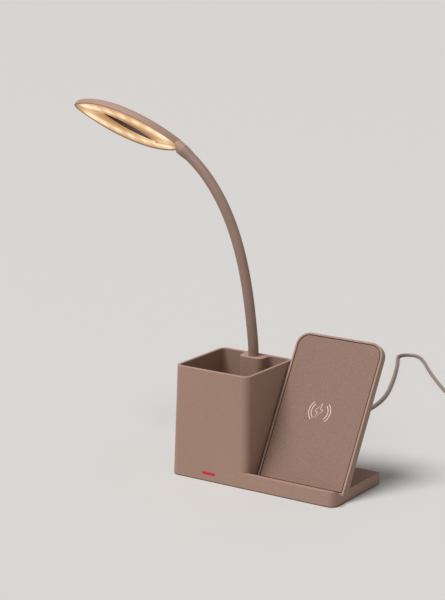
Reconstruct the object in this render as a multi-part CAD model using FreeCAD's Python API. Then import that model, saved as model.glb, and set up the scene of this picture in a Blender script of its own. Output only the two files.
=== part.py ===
import FreeCAD, Part
import math
import os

# Desk lamp with a pen cup, a wireless charging stand and a flexible neck.
# Millimetres. +Z is up, +X is to the right of someone facing the lamp, +Y points to its back.
# The origin is on the table, under the middle of the base.

os.makedirs("parts", exist_ok=True)

Vec = FreeCAD.Vector
UP = Vec(0, 0, 1)
BACK = Vec(0, 1, 0)
RIGHT = Vec(1, 0, 0)

# ---------------------------------------------------------------- driving dimensions

# Base moulding
BASE_WIDTH = 160.0
BASE_DEPTH = 78.0
BASE_LIFT = 0.8            # the pad holds the moulding this far off the table
DECK_TOP = 10.4            # flat deck behind the charging stand
DECK_WALL = 2.2
SKIRT_WALL = 2.2
FRONT_CORNER = 6.5         # radius of the rounded corners in plan
REAR_CORNER = 0.6

# Pen cup
CUP_WIDTH = 76.0
CUP_TOP = 96.5
CUP_DRAFT = 1.6            # each side leans in by this much from the table to the rim
CUP_WALL = 2.6
CUP_FLOOR_TOP = 14.4
CUP_FLOOR_WALL = 2.2
CUP_INNER_CORNER = 4.5

# Boss that carries the neck, at the back of the cup
BOSS_HALF_WIDTH = 12.0
BOSS_FRONT_REACH = 6.8     # from the neck's centre to the front of the boss
BOSS_CORNER = 6.0
BOSS_FILLET = 5.0
BOSS_WALL = 1.4
BOSS_ROOF = 8.0

# Charging stand
STAND_TILT = 30.0          # degrees back from upright
STAND_LENGTH = 131.6
STAND_THICK = 8.0
STAND_CORNER = 12.0
STAND_GAP = 0.9            # between the pen cup and the stand
LEDGE_DEPTH = 12.1         # room for a telephone in its case
LIP_TOP = 13.2
LIP_FLAT = 4.2
NOTCH_FLOOR = 5.4          # the stand's foot sits in a notch of the base
NOTCH_GAP = 0.25
NOTCH_WALL = 2.0
RIM_WIDTH = 1.6            # pale rim of the shell around the face plate
FACE_GROOVE = 0.7
FACE_THICK = 1.6
FACE_SINK = 0.15
FACE_LOW_CORNER = 0.6
POCKET_WALL = 1.8
POCKET_LOW_CORNER = 2.0
STAND_BACK_WALL = 1.6

# Charging coil, its ferrite and its board
COIL_OUTER = 25.0
COIL_INNER = 10.0
COIL_THICK = 1.2
COIL_HEIGHT = 64.0         # up the stand from the ledge
FERRITE_SIZE = 52.0
FERRITE_THICK = 1.0
CHARGER_BOARD_WIDTH = 46.0
CHARGER_BOARD_HEIGHT = 24.0
CHARGER_BOARD_THICK = 1.0
CHARGER_BOARD_LOW = 10.0
CHARGER_BOARD_ROOM = 3.0   # from the pocket's lower end to the board
CHARGER_CHIPS = [          # across from the middle, up from the board's foot, size and height
    (-14, 7, 7, 1.2),
    (0, 9, 8, 2.4),
    (12, 7, 6, 1.2),
    (-6, 18, 5, 1.0),
    (9, 18, 5, 1.0),
]
CHIP_CORNER = 0.3
FERRITE_CORNER = 3.0
BOARD_CORNER = 1.0

# Neck
NECK_ASIDE = 1.8           # to the right of the cup's middle
NECK_REAR_MARGIN = 12.0    # from the base's rear to the neck's centre
NECK_RADIUS = 4.5
CORE_RADIUS = 3.0
SLEEVE_FIT = 0.05
NECK_LENGTH = 195.0
NECK_FIRST_JOINT = 12.5
NECK_PITCH = 25.0
NECK_JOINTS = 8
NECK_LEAN_FOOT = 6.5       # degrees from upright just above the boss
NECK_LEAN_END = 59.0       # degrees from upright at the lamp head
NECK_CURL = 2.0            # how late the curve tightens
JOINT_GAP = 0.3            # between the domed end of one length and the bowl of the next
SLEEVE_SEAT = 4.0          # depth of the sleeve in the boss
HEAD_SEAT = 1.5            # depth of the sleeve in the head
NECK_HOLE_FIT = 0.05

# Threaded end of the neck with its nut
THREAD_RADIUS = 3.0
THREAD_BORE = 1.8
THREAD_FIT = 0.05
NUT_FLATS = 10.0
NUT_THICK = 4.0
WASHER_RADIUS = 5.0
WASHER_THICK = 1.0
THREAD_TAIL = 3.0
LEAD_RADIUS = 1.1

# Lamp head, a leaf with a slot through it
HEAD_LENGTH = 115.6
HEAD_WIDTH = 47.4
HEAD_TIP_RADIUS = 6.0
HEAD_THICK = 7.0
HEAD_ROUND = 4.3           # rounding of the back's outer edge
SLOT_ROUND = 3.0           # rounding of the back down to the slot
HEAD_WALL = 1.4
SLOT_LENGTH = 57.0
SLOT_WIDTH = 14.0
SLOT_TIP_RADIUS = 2.0
SLOT_OFFSET = 2.0          # from the leaf's middle towards the neck
SLOT_TURN = 15.0           # degrees, the slot's free end turned to the leaf's upper side
HEAD_RISE = 13.3           # degrees above level, from the neck to the free tip
HEAD_ROLL = 44.0           # the lit side is turned this far to the front
DIFFUSER_THICK = 1.4
DIFFUSER_SINK = 0.3
DIFFUSER_FIT = 0.1
LED_BOARD_THICK = 0.8
LED_BOARD_MARGIN = 1.0
LED_BOARD_HEIGHT = 3.1
LED_SIZE = 2.8
LED_THICK = 0.7
LED_PER_SIDE = 9
LED_ROW_REACH = 44.2       # from the leaf's middle to a row's ends
LED_ROW_INSET = 4.4        # from the leaf's side to the middle of a light
HEAD_POST_RADIUS = 1.9
HEAD_POST_OUTSET = 5.0
HEAD_SCREW_RADIUS = 0.9
HEAD_SCREW_HEAD = 0.6
HEAD_SCREW_HEAD_RADIUS = 1.62
HEAD_SCREW_ROOM = 0.2      # past the screw's tip
LEAF_TIP_LEAST = 0.8       # smallest radius of an inner leaf's tip
NOSE_RADIUS = 5.3
NOSE_REACH = 16.0
NOSE_INSET = 1.8           # the neck meets the head this far inside the leaf's tip
NOSE_OFFSET = 0.8
CORE_TAIL = 3.4

# Bottom cover, grip pad and screws
COVER_THICK = 1.4
COVER_FIT = 0.25
COVER_REAR_CORNER = 1.0
PAD_SEAT = 0.5             # depth of the pad's recess in the cover
PAD_MARGIN_X = 10.0
PAD_MARGIN_Y = 14.0
PAD_CORNER = 8.0
SCREW_RADIUS = 1.3
SCREW_FIT = 0.05
SCREW_HEAD_RADIUS = 2.5
SCREW_HEAD_THICK = 1.1
SCREW_DEPTH = 5.4
POST_RADIUS = 3.2
POST_INSET = 7.4
STAND_SCREW_REACH = 5.6
STAND_SCREW_SPREAD = 0.4   # share of the stand's width, from its middle to an outer screw
STAND_SCREW_ROOM = 0.4     # past the screw's tip

# Ballast
BALLAST_SIDE_ROOM = 0.4    # from the plate to the cover's screw posts
BALLAST_END_ROOM = 3.8     # from the plate to the walls in front of it and behind it
BALLAST_THICK = 4.8
BALLAST_CORNER = 3.0
RIB_WALL = 1.6
RIB_INSET = 12.4           # from the plate's sides to the ribs that hold it up

# Main board under the cup
BOARD_WIDTH = 42.0
BOARD_THICK = 1.6
BOARD_TOP = 5.6
BOARD_FRONT_MARGIN = 5.0
BOARD_REAR_MARGIN = 0.4
BOARD_POST_RADIUS = 2.8
BOARD_POST_INSET = 4.2
BOARD_HEAD_RADIUS = 2.2
BOARD_HEAD_THICK = 1.0
BOARD_SCREW_ROOM = 1.0     # past the screw's tip
MAIN_CHIPS = [             # left and front from the board's middle, then width, depth and height
    (-13, -12, 8, 8, 4),
    (3, -11, 7, 7, 1.4),
    (-12, 3, 6, 5, 1.4),
]
CAPACITOR_COUNT = 3
CAPACITOR_RADIUS = 2.5
CAPACITOR_HEIGHT = 5.4
CAPACITOR_PITCH = 6.5
CAPACITOR_X = 1.0          # first one, from the board's middle
CAPACITOR_Y = 6.0

# USB-C inlet and its plug
SOCKET_WIDTH = 8.94
SOCKET_HEIGHT = 3.16
SOCKET_WALL = 0.3
SOCKET_BACK_WALL = 1.2
SOCKET_LENGTH = 8.0
SOCKET_FIT = 0.15
TONGUE_WIDTH = 6.69
TONGUE_THICK = 0.7
TONGUE_LENGTH = 6.0
PLUG_SHELL_WIDTH = 8.25
PLUG_SHELL_HEIGHT = 2.4
PLUG_SHELL_WALL = 0.3
PLUG_INSERT = 6.4
PLUG_BODY_WIDTH = 11.6
PLUG_BODY_HEIGHT = 6.2
PLUG_BODY_LENGTH = 19.0
PLUG_GAP = 0.1             # from the cup's rear face to the grip
RELIEF_LENGTH = 13.0
RELIEF_RADIUS = 2.7
RELIEF_END_RADIUS = 1.9

# Indicator window and touch pad in the cup's front wall
WINDOW_HEIGHT = 6.9
WINDOW_LENGTH = 13.0
WINDOW_BREADTH = 2.4
WINDOW_FIT = 0.1
WINDOW_SINK = 0.1
TOUCH_WIDTH = 18.0
TOUCH_HEIGHT = 2.6
TOUCH_THICK = 0.4
TOUCH_LIFT = 0.5           # above the window
TAB_WIDTH = 10.0           # tab of the main board behind the window
TAB_GAP = 0.6              # from the tab to the front wall
LAMP_SPREAD = 3.0          # from the window's middle to each light
LAMP_WIDTH = 2.0
LAMP_DEPTH = 1.2
LAMP_HEIGHT = 1.6

# Cable
CABLE_RADIUS = 1.6
CABLE_LENGTH = 1200.0
COIL_MID_RADIUS = 17.5
COIL_ROWS = 3
COIL_LAYERS = 2
COIL_CENTRE = Vec(40.0, 330.0, 0)
USB_A_SHELL_WIDTH = 12.0
USB_A_SHELL_HEIGHT = 4.5
USB_A_SHELL_LENGTH = 12.0
USB_A_SHELL_WALL = 0.3
USB_A_TONGUE_SETBACK = 0.5
USB_A_TONGUE_DROP = 0.3    # the contacts' carrier stays this far below the middle
USB_A_BODY_WIDTH = 15.6
USB_A_BODY_HEIGHT = 7.6
USB_A_BODY_LENGTH = 24.0
USB_A_CORNER = 1.5
TIE_WIDTH = 8.0
TIE_THICK = 0.8

# ---------------------------------------------------------------- derived places

COVER_TOP = BASE_LIFT + COVER_THICK
BASE_LEFT = -BASE_WIDTH / 2
BASE_RIGHT = BASE_WIDTH / 2
BASE_FRONT = -BASE_DEPTH / 2
BASE_REAR = BASE_DEPTH / 2
CUP_RIGHT = BASE_LEFT + CUP_WIDTH
CUP_MIDDLE = (BASE_LEFT + CUP_RIGHT) / 2
CUP_CEILING = CUP_FLOOR_TOP - CUP_FLOOR_WALL
DECK_CEILING = DECK_TOP - DECK_WALL
INLET_X = CUP_MIDDLE
WINDOW_X = CUP_MIDDLE
NECK_X = CUP_MIDDLE + NECK_ASIDE
NECK_Y = BASE_REAR - NECK_REAR_MARGIN

TILT = math.radians(STAND_TILT)
STAND_UP = Vec(0, math.sin(TILT), math.cos(TILT))
STAND_OUT = Vec(0, -math.cos(TILT), math.sin(TILT))
LIP_CREST = Vec(0, BASE_FRONT + LIP_FLAT, LIP_TOP)
STAND_FOOT = LIP_CREST - STAND_OUT * LEDGE_DEPTH
STAND_LEFT = CUP_RIGHT + STAND_GAP
STAND_RIGHT = BASE_RIGHT
STAND_WIDTH = STAND_RIGHT - STAND_LEFT
STAND_MIDDLE = (STAND_LEFT + STAND_RIGHT) / 2
LEDGE_SLOPE = math.tan(TILT)
HEEL_FRONT = STAND_FOOT.y + (STAND_FOOT.z - NOTCH_FLOOR) / LEDGE_SLOPE
BACK_FOOT = STAND_FOOT - STAND_OUT * STAND_THICK
HEEL_REAR = BACK_FOOT.y + (DECK_TOP - BACK_FOOT.z) * math.tan(TILT)
NOTCH_REAR = HEEL_REAR + NOTCH_GAP
NOTCH_CEILING = NOTCH_FLOOR - NOTCH_WALL


# ---------------------------------------------------------------- helpers

def save(name, shape):
    """Write one sub-part to its own STEP file."""
    shape.exportStep(os.path.join("parts", name + ".step"))


def box(low, high):
    """Box between two corners."""
    size = high - low
    return Part.makeBox(size.x, size.y, size.z, low)


def rod(radius, start, end):
    """Cylinder from one point to another."""
    axis = end - start
    return Part.makeCylinder(radius, axis.Length, start, axis)


def cone(start_radius, end_radius, start, end):
    """Cone frustum from one point to another."""
    axis = end - start
    return Part.makeCone(start_radius, end_radius, axis.Length, start, axis)


def rounded_wire(points, radii):
    """Closed outline through flat corner points, each corner rounded by its own radius."""
    edges = []
    ends = []
    count = len(points)
    for i in range(count):
        corner = points[i]
        before = (points[i - 1] - corner).normalize()
        after = (points[(i + 1) % count] - corner).normalize()
        half = before.getAngle(after) / 2
        if radii[i] <= 0:
            ends.append((corner, corner, None))
            continue
        reach = radii[i] / math.tan(half)
        middle = (before + after).normalize()
        centre = corner + middle * (radii[i] / math.sin(half))
        ends.append((corner + before * reach, corner + after * reach, centre - middle * radii[i]))
    for i in range(count):
        start, end, through = ends[i]
        if through is not None:
            edges.append(Part.Arc(start, through, end).toShape())
        following = ends[(i + 1) % count][0]
        if (following - end).Length > 1e-6:
            edges.append(Part.LineSegment(end, following).toShape())
    return Part.Wire(edges)


def rectangle_points(x_low, x_high, y_low, y_high, z):
    """Corners of a level rectangle, anticlockwise from the front left."""
    return [Vec(x_low, y_low, z), Vec(x_high, y_low, z), Vec(x_high, y_high, z), Vec(x_low, y_high, z)]


def plate(wire, along):
    """Solid swept straight from a flat closed outline."""
    return Part.Face(wire).extrude(along)


def side_profile(points, x_low, x_high):
    """Solid with a side-view outline of (y, z) points, between two x places."""
    corners = [Vec(x_low, y, z) for y, z in points]
    wire = Part.makePolygon(corners + corners[:1])
    return plate(wire, RIGHT * (x_high - x_low))


def joined(shapes):
    """One clean solid from several that touch or overlap."""
    first = shapes[0]
    return first.multiFuse(shapes[1:]).removeSplitter()


def slot_block(width, height, length, centre, along):
    """Bar of a stadium section, as every USB-C shell has. Its flat sides are level."""
    reach = (width - height) / 2
    half = height / 2
    left = centre - RIGHT * reach
    right = centre + RIGHT * reach
    edges = [
        Part.LineSegment(left - UP * half, right - UP * half).toShape(),
        Part.Arc(right - UP * half, right + RIGHT * half, right + UP * half).toShape(),
        Part.LineSegment(right + UP * half, left + UP * half).toShape(),
        Part.Arc(left + UP * half, left - RIGHT * half, left - UP * half).toShape(),
    ]
    return plate(Part.Wire(edges), along * length)


# ---------------------------------------------------------------- base moulding

def cup_inset(z):
    """How far the cup's side has leaned in at a height."""
    return CUP_DRAFT * (z - BASE_LIFT) / (CUP_TOP - BASE_LIFT)


def cup_section(z, wall, corner, slack=0.0):
    """Level outline of the cup at a height, inside the given wall."""
    inset = cup_inset(z) + wall + slack
    points = rectangle_points(BASE_LEFT + inset, CUP_RIGHT - inset, BASE_FRONT + inset, BASE_REAR - inset, z)
    return rounded_wire(points, [corner] * 4)


def boss_outline(z):
    """Level outline of the pen space, which goes round the boss at the back."""
    inset = cup_inset(z) + CUP_WALL
    left = BASE_LEFT + inset
    right = CUP_RIGHT - inset
    front = BASE_FRONT + inset
    rear = BASE_REAR - inset
    boss_left = NECK_X - BOSS_HALF_WIDTH
    boss_right = NECK_X + BOSS_HALF_WIDTH
    boss_front = NECK_Y - BOSS_FRONT_REACH
    points = [
        Vec(left, front, z), Vec(right, front, z), Vec(right, rear, z),
        Vec(boss_right, rear, z), Vec(boss_right, boss_front, z),
        Vec(boss_left, boss_front, z), Vec(boss_left, rear, z), Vec(left, rear, z),
    ]
    radii = [CUP_INNER_CORNER, CUP_INNER_CORNER, CUP_INNER_CORNER,
             BOSS_FILLET, BOSS_CORNER, BOSS_CORNER, BOSS_FILLET, CUP_INNER_CORNER]
    return rounded_wire(points, radii)


def boss_hollow():
    """Space inside the boss, open to the room under the cup's floor."""
    rear = BASE_REAR - cup_inset(CUP_TOP) - CUP_WALL
    points = rectangle_points(NECK_X - BOSS_HALF_WIDTH + BOSS_WALL, NECK_X + BOSS_HALF_WIDTH - BOSS_WALL,
                              NECK_Y - BOSS_FRONT_REACH + BOSS_WALL, rear, CUP_CEILING)
    corner = BOSS_CORNER - BOSS_WALL
    return plate(rounded_wire(points, [corner] * 4), UP * (CUP_TOP - BOSS_ROOF - CUP_CEILING))


def base_block():
    """Lip, ledge, notch and deck to the right of the cup."""
    profile = [
        (BASE_FRONT, BASE_LIFT),
        (BASE_FRONT, LIP_TOP),
        (LIP_CREST.y, LIP_TOP),
        (HEEL_FRONT, NOTCH_FLOOR),
        (NOTCH_REAR, NOTCH_FLOOR),
        (NOTCH_REAR, DECK_TOP),
        (BASE_REAR, DECK_TOP),
        (BASE_REAR, BASE_LIFT),
    ]
    block = side_profile(profile, CUP_RIGHT - FRONT_CORNER - CUP_DRAFT, BASE_RIGHT)
    plan = rectangle_points(BASE_LEFT, BASE_RIGHT, BASE_FRONT, BASE_REAR, 0)
    corners = [0, FRONT_CORNER, REAR_CORNER, 0]
    return block.common(plate(rounded_wire(plan, corners), UP * CUP_TOP))


def base_hollow():
    """Room inside the base, open below, with even walls under the lip, the ledge and the deck."""
    ledge_wall = STAND_UP * NOTCH_WALL
    crest = LIP_CREST - ledge_wall
    foot = STAND_FOOT - ledge_wall
    lip_ceiling = LIP_TOP - SKIRT_WALL
    profile = [
        (BASE_FRONT + SKIRT_WALL, 0),
        (BASE_FRONT + SKIRT_WALL, lip_ceiling),
        (crest.y + (crest.z - lip_ceiling) / LEDGE_SLOPE, lip_ceiling),
        (foot.y + (foot.z - NOTCH_CEILING) / LEDGE_SLOPE, NOTCH_CEILING),
        (NOTCH_REAR + SKIRT_WALL, NOTCH_CEILING),
        (NOTCH_REAR + SKIRT_WALL, DECK_CEILING),
        (BASE_REAR - SKIRT_WALL, DECK_CEILING),
        (BASE_REAR - SKIRT_WALL, 0),
    ]
    hollow = side_profile(profile, CUP_RIGHT - CUP_WALL - CUP_INNER_CORNER, BASE_RIGHT - SKIRT_WALL)
    plan = rectangle_points(BASE_LEFT, BASE_RIGHT - SKIRT_WALL,
                            BASE_FRONT + SKIRT_WALL, BASE_REAR - SKIRT_WALL, 0)
    corners = [0, FRONT_CORNER - SKIRT_WALL, 0, 0]
    return hollow.common(plate(rounded_wire(plan, corners), UP * CUP_TOP))


def cup_hollow():
    """Room under the cup's floor for the main board."""
    low = rounded_wire(rectangle_points(BASE_LEFT + CUP_WALL, CUP_RIGHT - CUP_WALL,
                                        BASE_FRONT + CUP_WALL, BASE_REAR - CUP_WALL, 0),
                       [CUP_INNER_CORNER] * 4)
    return plate(low, UP * CUP_CEILING)


def cover_posts():
    """Places of the screw posts for the bottom cover, each with the ceiling above it."""
    left = BASE_LEFT + POST_INSET
    right = BASE_RIGHT - POST_INSET
    front = BASE_FRONT + POST_INSET
    rear = BASE_REAR - POST_INSET
    cup_side = CUP_RIGHT - POST_INSET
    return [
        (Vec(left, front, 0), CUP_CEILING),
        (Vec(left, rear, 0), CUP_CEILING),
        (Vec(cup_side, front, 0), CUP_CEILING),
        (Vec(cup_side, rear, 0), CUP_CEILING),
        (Vec(right, front, 0), DECK_CEILING),
        (Vec(right, rear, 0), DECK_CEILING),
    ]


def board_box():
    """Lowest and highest corner of the main board."""
    low = Vec(INLET_X - BOARD_WIDTH / 2, BASE_FRONT + CUP_WALL + BOARD_FRONT_MARGIN, BOARD_TOP - BOARD_THICK)
    high = Vec(INLET_X + BOARD_WIDTH / 2, BASE_REAR - CUP_WALL - BOARD_REAR_MARGIN, BOARD_TOP)
    return low, high


def board_posts():
    """Places of the four posts that the main board is screwed to."""
    low, high = board_box()
    return [Vec(x, y, 0)
            for x in (low.x + BOARD_POST_INSET, high.x - BOARD_POST_INSET)
            for y in (low.y + BOARD_POST_INSET, high.y - BOARD_POST_INSET)]


def stand_screw_places():
    """Places of the screws that hold the charging stand from below."""
    y = (HEEL_FRONT + HEEL_REAR) / 2
    spread = STAND_WIDTH * STAND_SCREW_SPREAD
    return [Vec(STAND_MIDDLE + side * spread, y, 0) for side in (-1, 0, 1)]


def window_bar(slack, depth, front):
    """Upright-standing capsule bar through the front wall, for the window and its hole."""
    centre = Vec(WINDOW_X, front, WINDOW_HEIGHT)
    return slot_block(WINDOW_LENGTH + 2 * slack, WINDOW_BREADTH + 2 * slack, depth, centre, BACK)


def housing():
    """One moulding: pen cup, neck boss, lip, ledge and deck."""
    outer = Part.makeLoft([cup_section(BASE_LIFT, 0, FRONT_CORNER), cup_section(CUP_TOP, 0, FRONT_CORNER)],
                          True, True)
    pen_space = Part.makeLoft([boss_outline(CUP_FLOOR_TOP), boss_outline(CUP_TOP)], True, True)
    body = joined([outer, base_block()])
    body = body.cut(pen_space)
    body = body.cut(joined([cup_hollow(), base_hollow()]))
    body = body.cut(boss_hollow())
    posts = []
    root = CUP_FLOOR_WALL / 2
    for place, ceiling in cover_posts():
        posts.append(rod(POST_RADIUS, place + UP * COVER_TOP, place + UP * (ceiling + root)))
    for place in board_posts():
        posts.append(rod(BOARD_POST_RADIUS, place + UP * BOARD_TOP, place + UP * (CUP_CEILING + root)))
    body = joined([body] + posts)
    bore = SCREW_RADIUS + SCREW_FIT
    for place, ceiling in cover_posts():
        body = body.cut(rod(bore, place, place + UP * (BASE_LIFT + SCREW_DEPTH + SCREW_FIT)))
    for place in board_posts():
        body = body.cut(rod(bore, place, place + UP * (BOARD_TOP + SCREW_DEPTH)))
    for place in stand_screw_places():
        body = body.cut(rod(bore, place, place + UP * DECK_TOP))
    foot = Vec(NECK_X, NECK_Y, CUP_TOP - SLEEVE_SEAT)
    body = body.cut(rod(NECK_RADIUS + NECK_HOLE_FIT, foot, foot + UP * (2 * SLEEVE_SEAT)))
    body = body.cut(rod(THREAD_RADIUS + THREAD_FIT, foot - UP * BOSS_ROOF, foot))
    body = body.cut(window_bar(WINDOW_FIT, CUP_WALL * 2, BASE_FRONT - CUP_DRAFT))
    socket_centre = Vec(INLET_X, BASE_REAR - 2 * CUP_WALL, BOARD_TOP + SOCKET_HEIGHT / 2)
    body = body.cut(slot_block(SOCKET_WIDTH + 2 * SOCKET_FIT, SOCKET_HEIGHT + 2 * SOCKET_FIT,
                               3 * CUP_WALL, socket_centre, BACK))
    return body


def bottom_cover():
    """Plate that closes the base from below, with ribs that press the ballast up to the deck."""
    wall = SKIRT_WALL + COVER_FIT
    cup_wall = CUP_WALL + COVER_FIT
    points = [
        Vec(BASE_LEFT + cup_wall, BASE_FRONT + cup_wall, BASE_LIFT),
        Vec(BASE_RIGHT - wall, BASE_FRONT + cup_wall, BASE_LIFT),
        Vec(BASE_RIGHT - wall, BASE_REAR - cup_wall, BASE_LIFT),
        Vec(BASE_LEFT + cup_wall, BASE_REAR - cup_wall, BASE_LIFT),
    ]
    corners = [CUP_INNER_CORNER, FRONT_CORNER - SKIRT_WALL, COVER_REAR_CORNER, CUP_INNER_CORNER]
    body = plate(rounded_wire(points, corners), UP * COVER_THICK)
    low, high = ballast_box()
    root = COVER_TOP - COVER_THICK / 2
    half = RIB_WALL / 2
    ribs = [box(Vec(x - half, low.y, root), Vec(x + half, high.y, low.z))
            for x in (low.x + RIB_INSET, high.x - RIB_INSET)]
    body = joined([body] + ribs)
    for place, ceiling in cover_posts():
        body = body.cut(cover_screw(place, SCREW_FIT))
    return body.cut(grip_pad(SCREW_FIT))


def grip_pad(slack=0.0):
    """Rubber pad that the lamp stands on, or with slack the recess for it."""
    points = rectangle_points(BASE_LEFT + PAD_MARGIN_X - slack, BASE_RIGHT - PAD_MARGIN_X + slack,
                              BASE_FRONT + PAD_MARGIN_Y - slack, BASE_REAR - PAD_MARGIN_Y + slack, 0)
    return plate(rounded_wire(points, [PAD_CORNER] * 4), UP * (BASE_LIFT + PAD_SEAT))


def cover_screw(place, slack=0.0):
    """Countersunk screw, or with slack the hole for one."""
    low = place + UP * BASE_LIFT
    neck = low + UP * SCREW_HEAD_THICK
    head = cone(SCREW_HEAD_RADIUS + slack, SCREW_RADIUS + slack, low, neck)
    shank = rod(SCREW_RADIUS + slack, neck, low + UP * SCREW_DEPTH)
    return joined([head, shank])


def cover_screws():
    """Six screws of the bottom cover."""
    return Part.makeCompound([cover_screw(place) for place, ceiling in cover_posts()])


def ballast_box():
    """Lowest and highest corner of the steel plate under the deck."""
    side = POST_INSET + POST_RADIUS + BALLAST_SIDE_ROOM
    end = SKIRT_WALL + BALLAST_END_ROOM
    low = Vec(STAND_LEFT + side, NOTCH_REAR + end, DECK_CEILING - BALLAST_THICK)
    high = Vec(STAND_RIGHT - side, BASE_REAR - end, DECK_CEILING)
    return low, high


def ballast_plate():
    """Steel plate that keeps the lamp from tipping."""
    low, high = ballast_box()
    points = rectangle_points(low.x, high.x, low.y, high.y, low.z)
    return plate(rounded_wire(points, [BALLAST_CORNER] * 4), UP * BALLAST_THICK)


# ---------------------------------------------------------------- electronics in the base

def main_board():
    """Circuit board under the cup, hung from four posts."""
    low, high = board_box()
    body = box(low, high)
    for place in board_posts():
        body = body.cut(rod(SCREW_RADIUS + SCREW_FIT, place, place + UP * BOARD_TOP))
    return body


def board_parts():
    """Inductor, capacitors and chips on the main board."""
    low, high = board_box()
    middle = Vec((low.x + high.x) / 2, (low.y + high.y) / 2, BOARD_TOP)
    parts = []
    for left, front, width, depth, height in MAIN_CHIPS:
        corner = middle + Vec(left, front, 0)
        parts.append(box(corner, corner + Vec(width, depth, height)))
    for step in range(CAPACITOR_COUNT):
        place = middle + Vec(CAPACITOR_X + step * CAPACITOR_PITCH, CAPACITOR_Y, 0)
        parts.append(rod(CAPACITOR_RADIUS, place, place + UP * CAPACITOR_HEIGHT))
    return Part.makeCompound(parts)


def board_screws():
    """Four pan-head screws that hold the main board up to its posts."""
    screws = []
    for place in board_posts():
        seat = place + UP * (BOARD_TOP - BOARD_THICK)
        head = rod(BOARD_HEAD_RADIUS, seat - UP * BOARD_HEAD_THICK, seat)
        shank = rod(SCREW_RADIUS, seat, place + UP * (BOARD_TOP + SCREW_DEPTH - BOARD_SCREW_ROOM))
        screws.append(joined([head, shank]))
    return Part.makeCompound(screws)


def inlet_centre():
    """Middle of the inlet, level with the cup's outer rear face."""
    height = BOARD_TOP + SOCKET_HEIGHT / 2
    return Vec(INLET_X, BASE_REAR - cup_inset(height), height)


def usb_c_socket():
    """Steel shell of the inlet with its contact tongue, soldered to the main board."""
    mouth = inlet_centre()
    start = mouth - BACK * SOCKET_LENGTH
    shell = slot_block(SOCKET_WIDTH, SOCKET_HEIGHT, SOCKET_LENGTH, start, BACK)
    room = slot_block(SOCKET_WIDTH - 2 * SOCKET_WALL, SOCKET_HEIGHT - 2 * SOCKET_WALL,
                      SOCKET_LENGTH, start + BACK * SOCKET_BACK_WALL, BACK)
    tongue = box(start + Vec(-TONGUE_WIDTH / 2, SOCKET_BACK_WALL / 2, -TONGUE_THICK / 2),
                 start + Vec(TONGUE_WIDTH / 2, SOCKET_BACK_WALL + TONGUE_LENGTH, TONGUE_THICK / 2))
    return joined([shell.cut(room), tongue])


def indicator_window():
    """Red capsule-shaped light window, just below flush with the cup's front face."""
    front = BASE_FRONT + cup_inset(WINDOW_HEIGHT) + WINDOW_SINK
    return window_bar(0, CUP_WALL - WINDOW_SINK, front)


def indicator_led():
    """Two small light-emitting chips on the main board's front tab, behind the window."""
    low, high = board_box()
    edge = Vec(WINDOW_X, BASE_FRONT + CUP_WALL + TAB_GAP, BOARD_TOP)
    tab = box(edge + Vec(-TAB_WIDTH / 2, 0, -BOARD_THICK), Vec(WINDOW_X + TAB_WIDTH / 2, low.y, BOARD_TOP))
    chips = []
    for side in (-1, 1):
        corner = edge + RIGHT * (side * LAMP_SPREAD - LAMP_WIDTH / 2)
        chips.append(box(corner, corner + Vec(LAMP_WIDTH, LAMP_DEPTH, LAMP_HEIGHT)))
    return joined([tab] + chips)


def touch_pad():
    """Copper pad on the inside of the front wall: a touch above the light switches the lamp."""
    low_z = WINDOW_HEIGHT + WINDOW_BREADTH / 2 + TOUCH_LIFT
    wall = BASE_FRONT + CUP_WALL
    return box(Vec(WINDOW_X - TOUCH_WIDTH / 2, wall, low_z),
               Vec(WINDOW_X + TOUCH_WIDTH / 2, wall + TOUCH_THICK, low_z + TOUCH_HEIGHT))


# ---------------------------------------------------------------- charging stand

def stand_point(across, up, out):
    """Point on the stand: across from its left edge, up from the ledge, out from its face."""
    return Vec(STAND_LEFT + across, STAND_FOOT.y, STAND_FOOT.z) + STAND_UP * up + STAND_OUT * out


def stand_outline(inset, low, corner, low_corner, out):
    """Outline of the stand's face, inset from its edges and starting at a height."""
    points = [
        stand_point(inset, low, out),
        stand_point(STAND_WIDTH - inset, low, out),
        stand_point(STAND_WIDTH - inset, STAND_LENGTH - inset, out),
        stand_point(inset, STAND_LENGTH - inset, out),
    ]
    return rounded_wire(points, [low_corner, low_corner, corner, corner])


def stand_shell():
    """Back shell of the stand, with the rim around the face plate and the foot in the notch."""
    back_top = BACK_FOOT + STAND_UP * (STAND_LENGTH * 1.2)
    front_top = STAND_FOOT + STAND_UP * (STAND_LENGTH * 1.2)
    profile = [
        (STAND_FOOT.y, STAND_FOOT.z),
        (front_top.y, front_top.z),
        (back_top.y, back_top.z),
        (HEEL_REAR, DECK_TOP),
        (HEEL_REAR, NOTCH_FLOOR),
        (HEEL_FRONT, NOTCH_FLOOR),
    ]
    body = side_profile(profile, STAND_LEFT, STAND_RIGHT)
    outline = stand_outline(0, -3 * STAND_THICK, STAND_CORNER, 0, -3 * STAND_THICK)
    body = body.common(plate(outline, STAND_OUT * (4 * STAND_THICK)))
    seat_depth = FACE_SINK + FACE_THICK
    low_corner = FACE_LOW_CORNER + FACE_GROOVE
    seat = stand_outline(RIM_WIDTH, RIM_WIDTH, STAND_CORNER - RIM_WIDTH, low_corner, -seat_depth)
    body = body.cut(plate(seat, STAND_OUT * (2 * seat_depth)))
    inset = RIM_WIDTH + POCKET_WALL
    low = CHARGER_BOARD_LOW - CHARGER_BOARD_ROOM
    floor = STAND_BACK_WALL - STAND_THICK
    pocket = stand_outline(inset, low, STAND_CORNER - inset, POCKET_LOW_CORNER, floor)
    body = body.cut(plate(pocket, STAND_OUT * STAND_THICK))
    for place in stand_screw_places():
        body = body.cut(rod(SCREW_RADIUS + SCREW_FIT, place, place + UP * (NOTCH_FLOOR + STAND_SCREW_REACH)))
    return body


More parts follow.
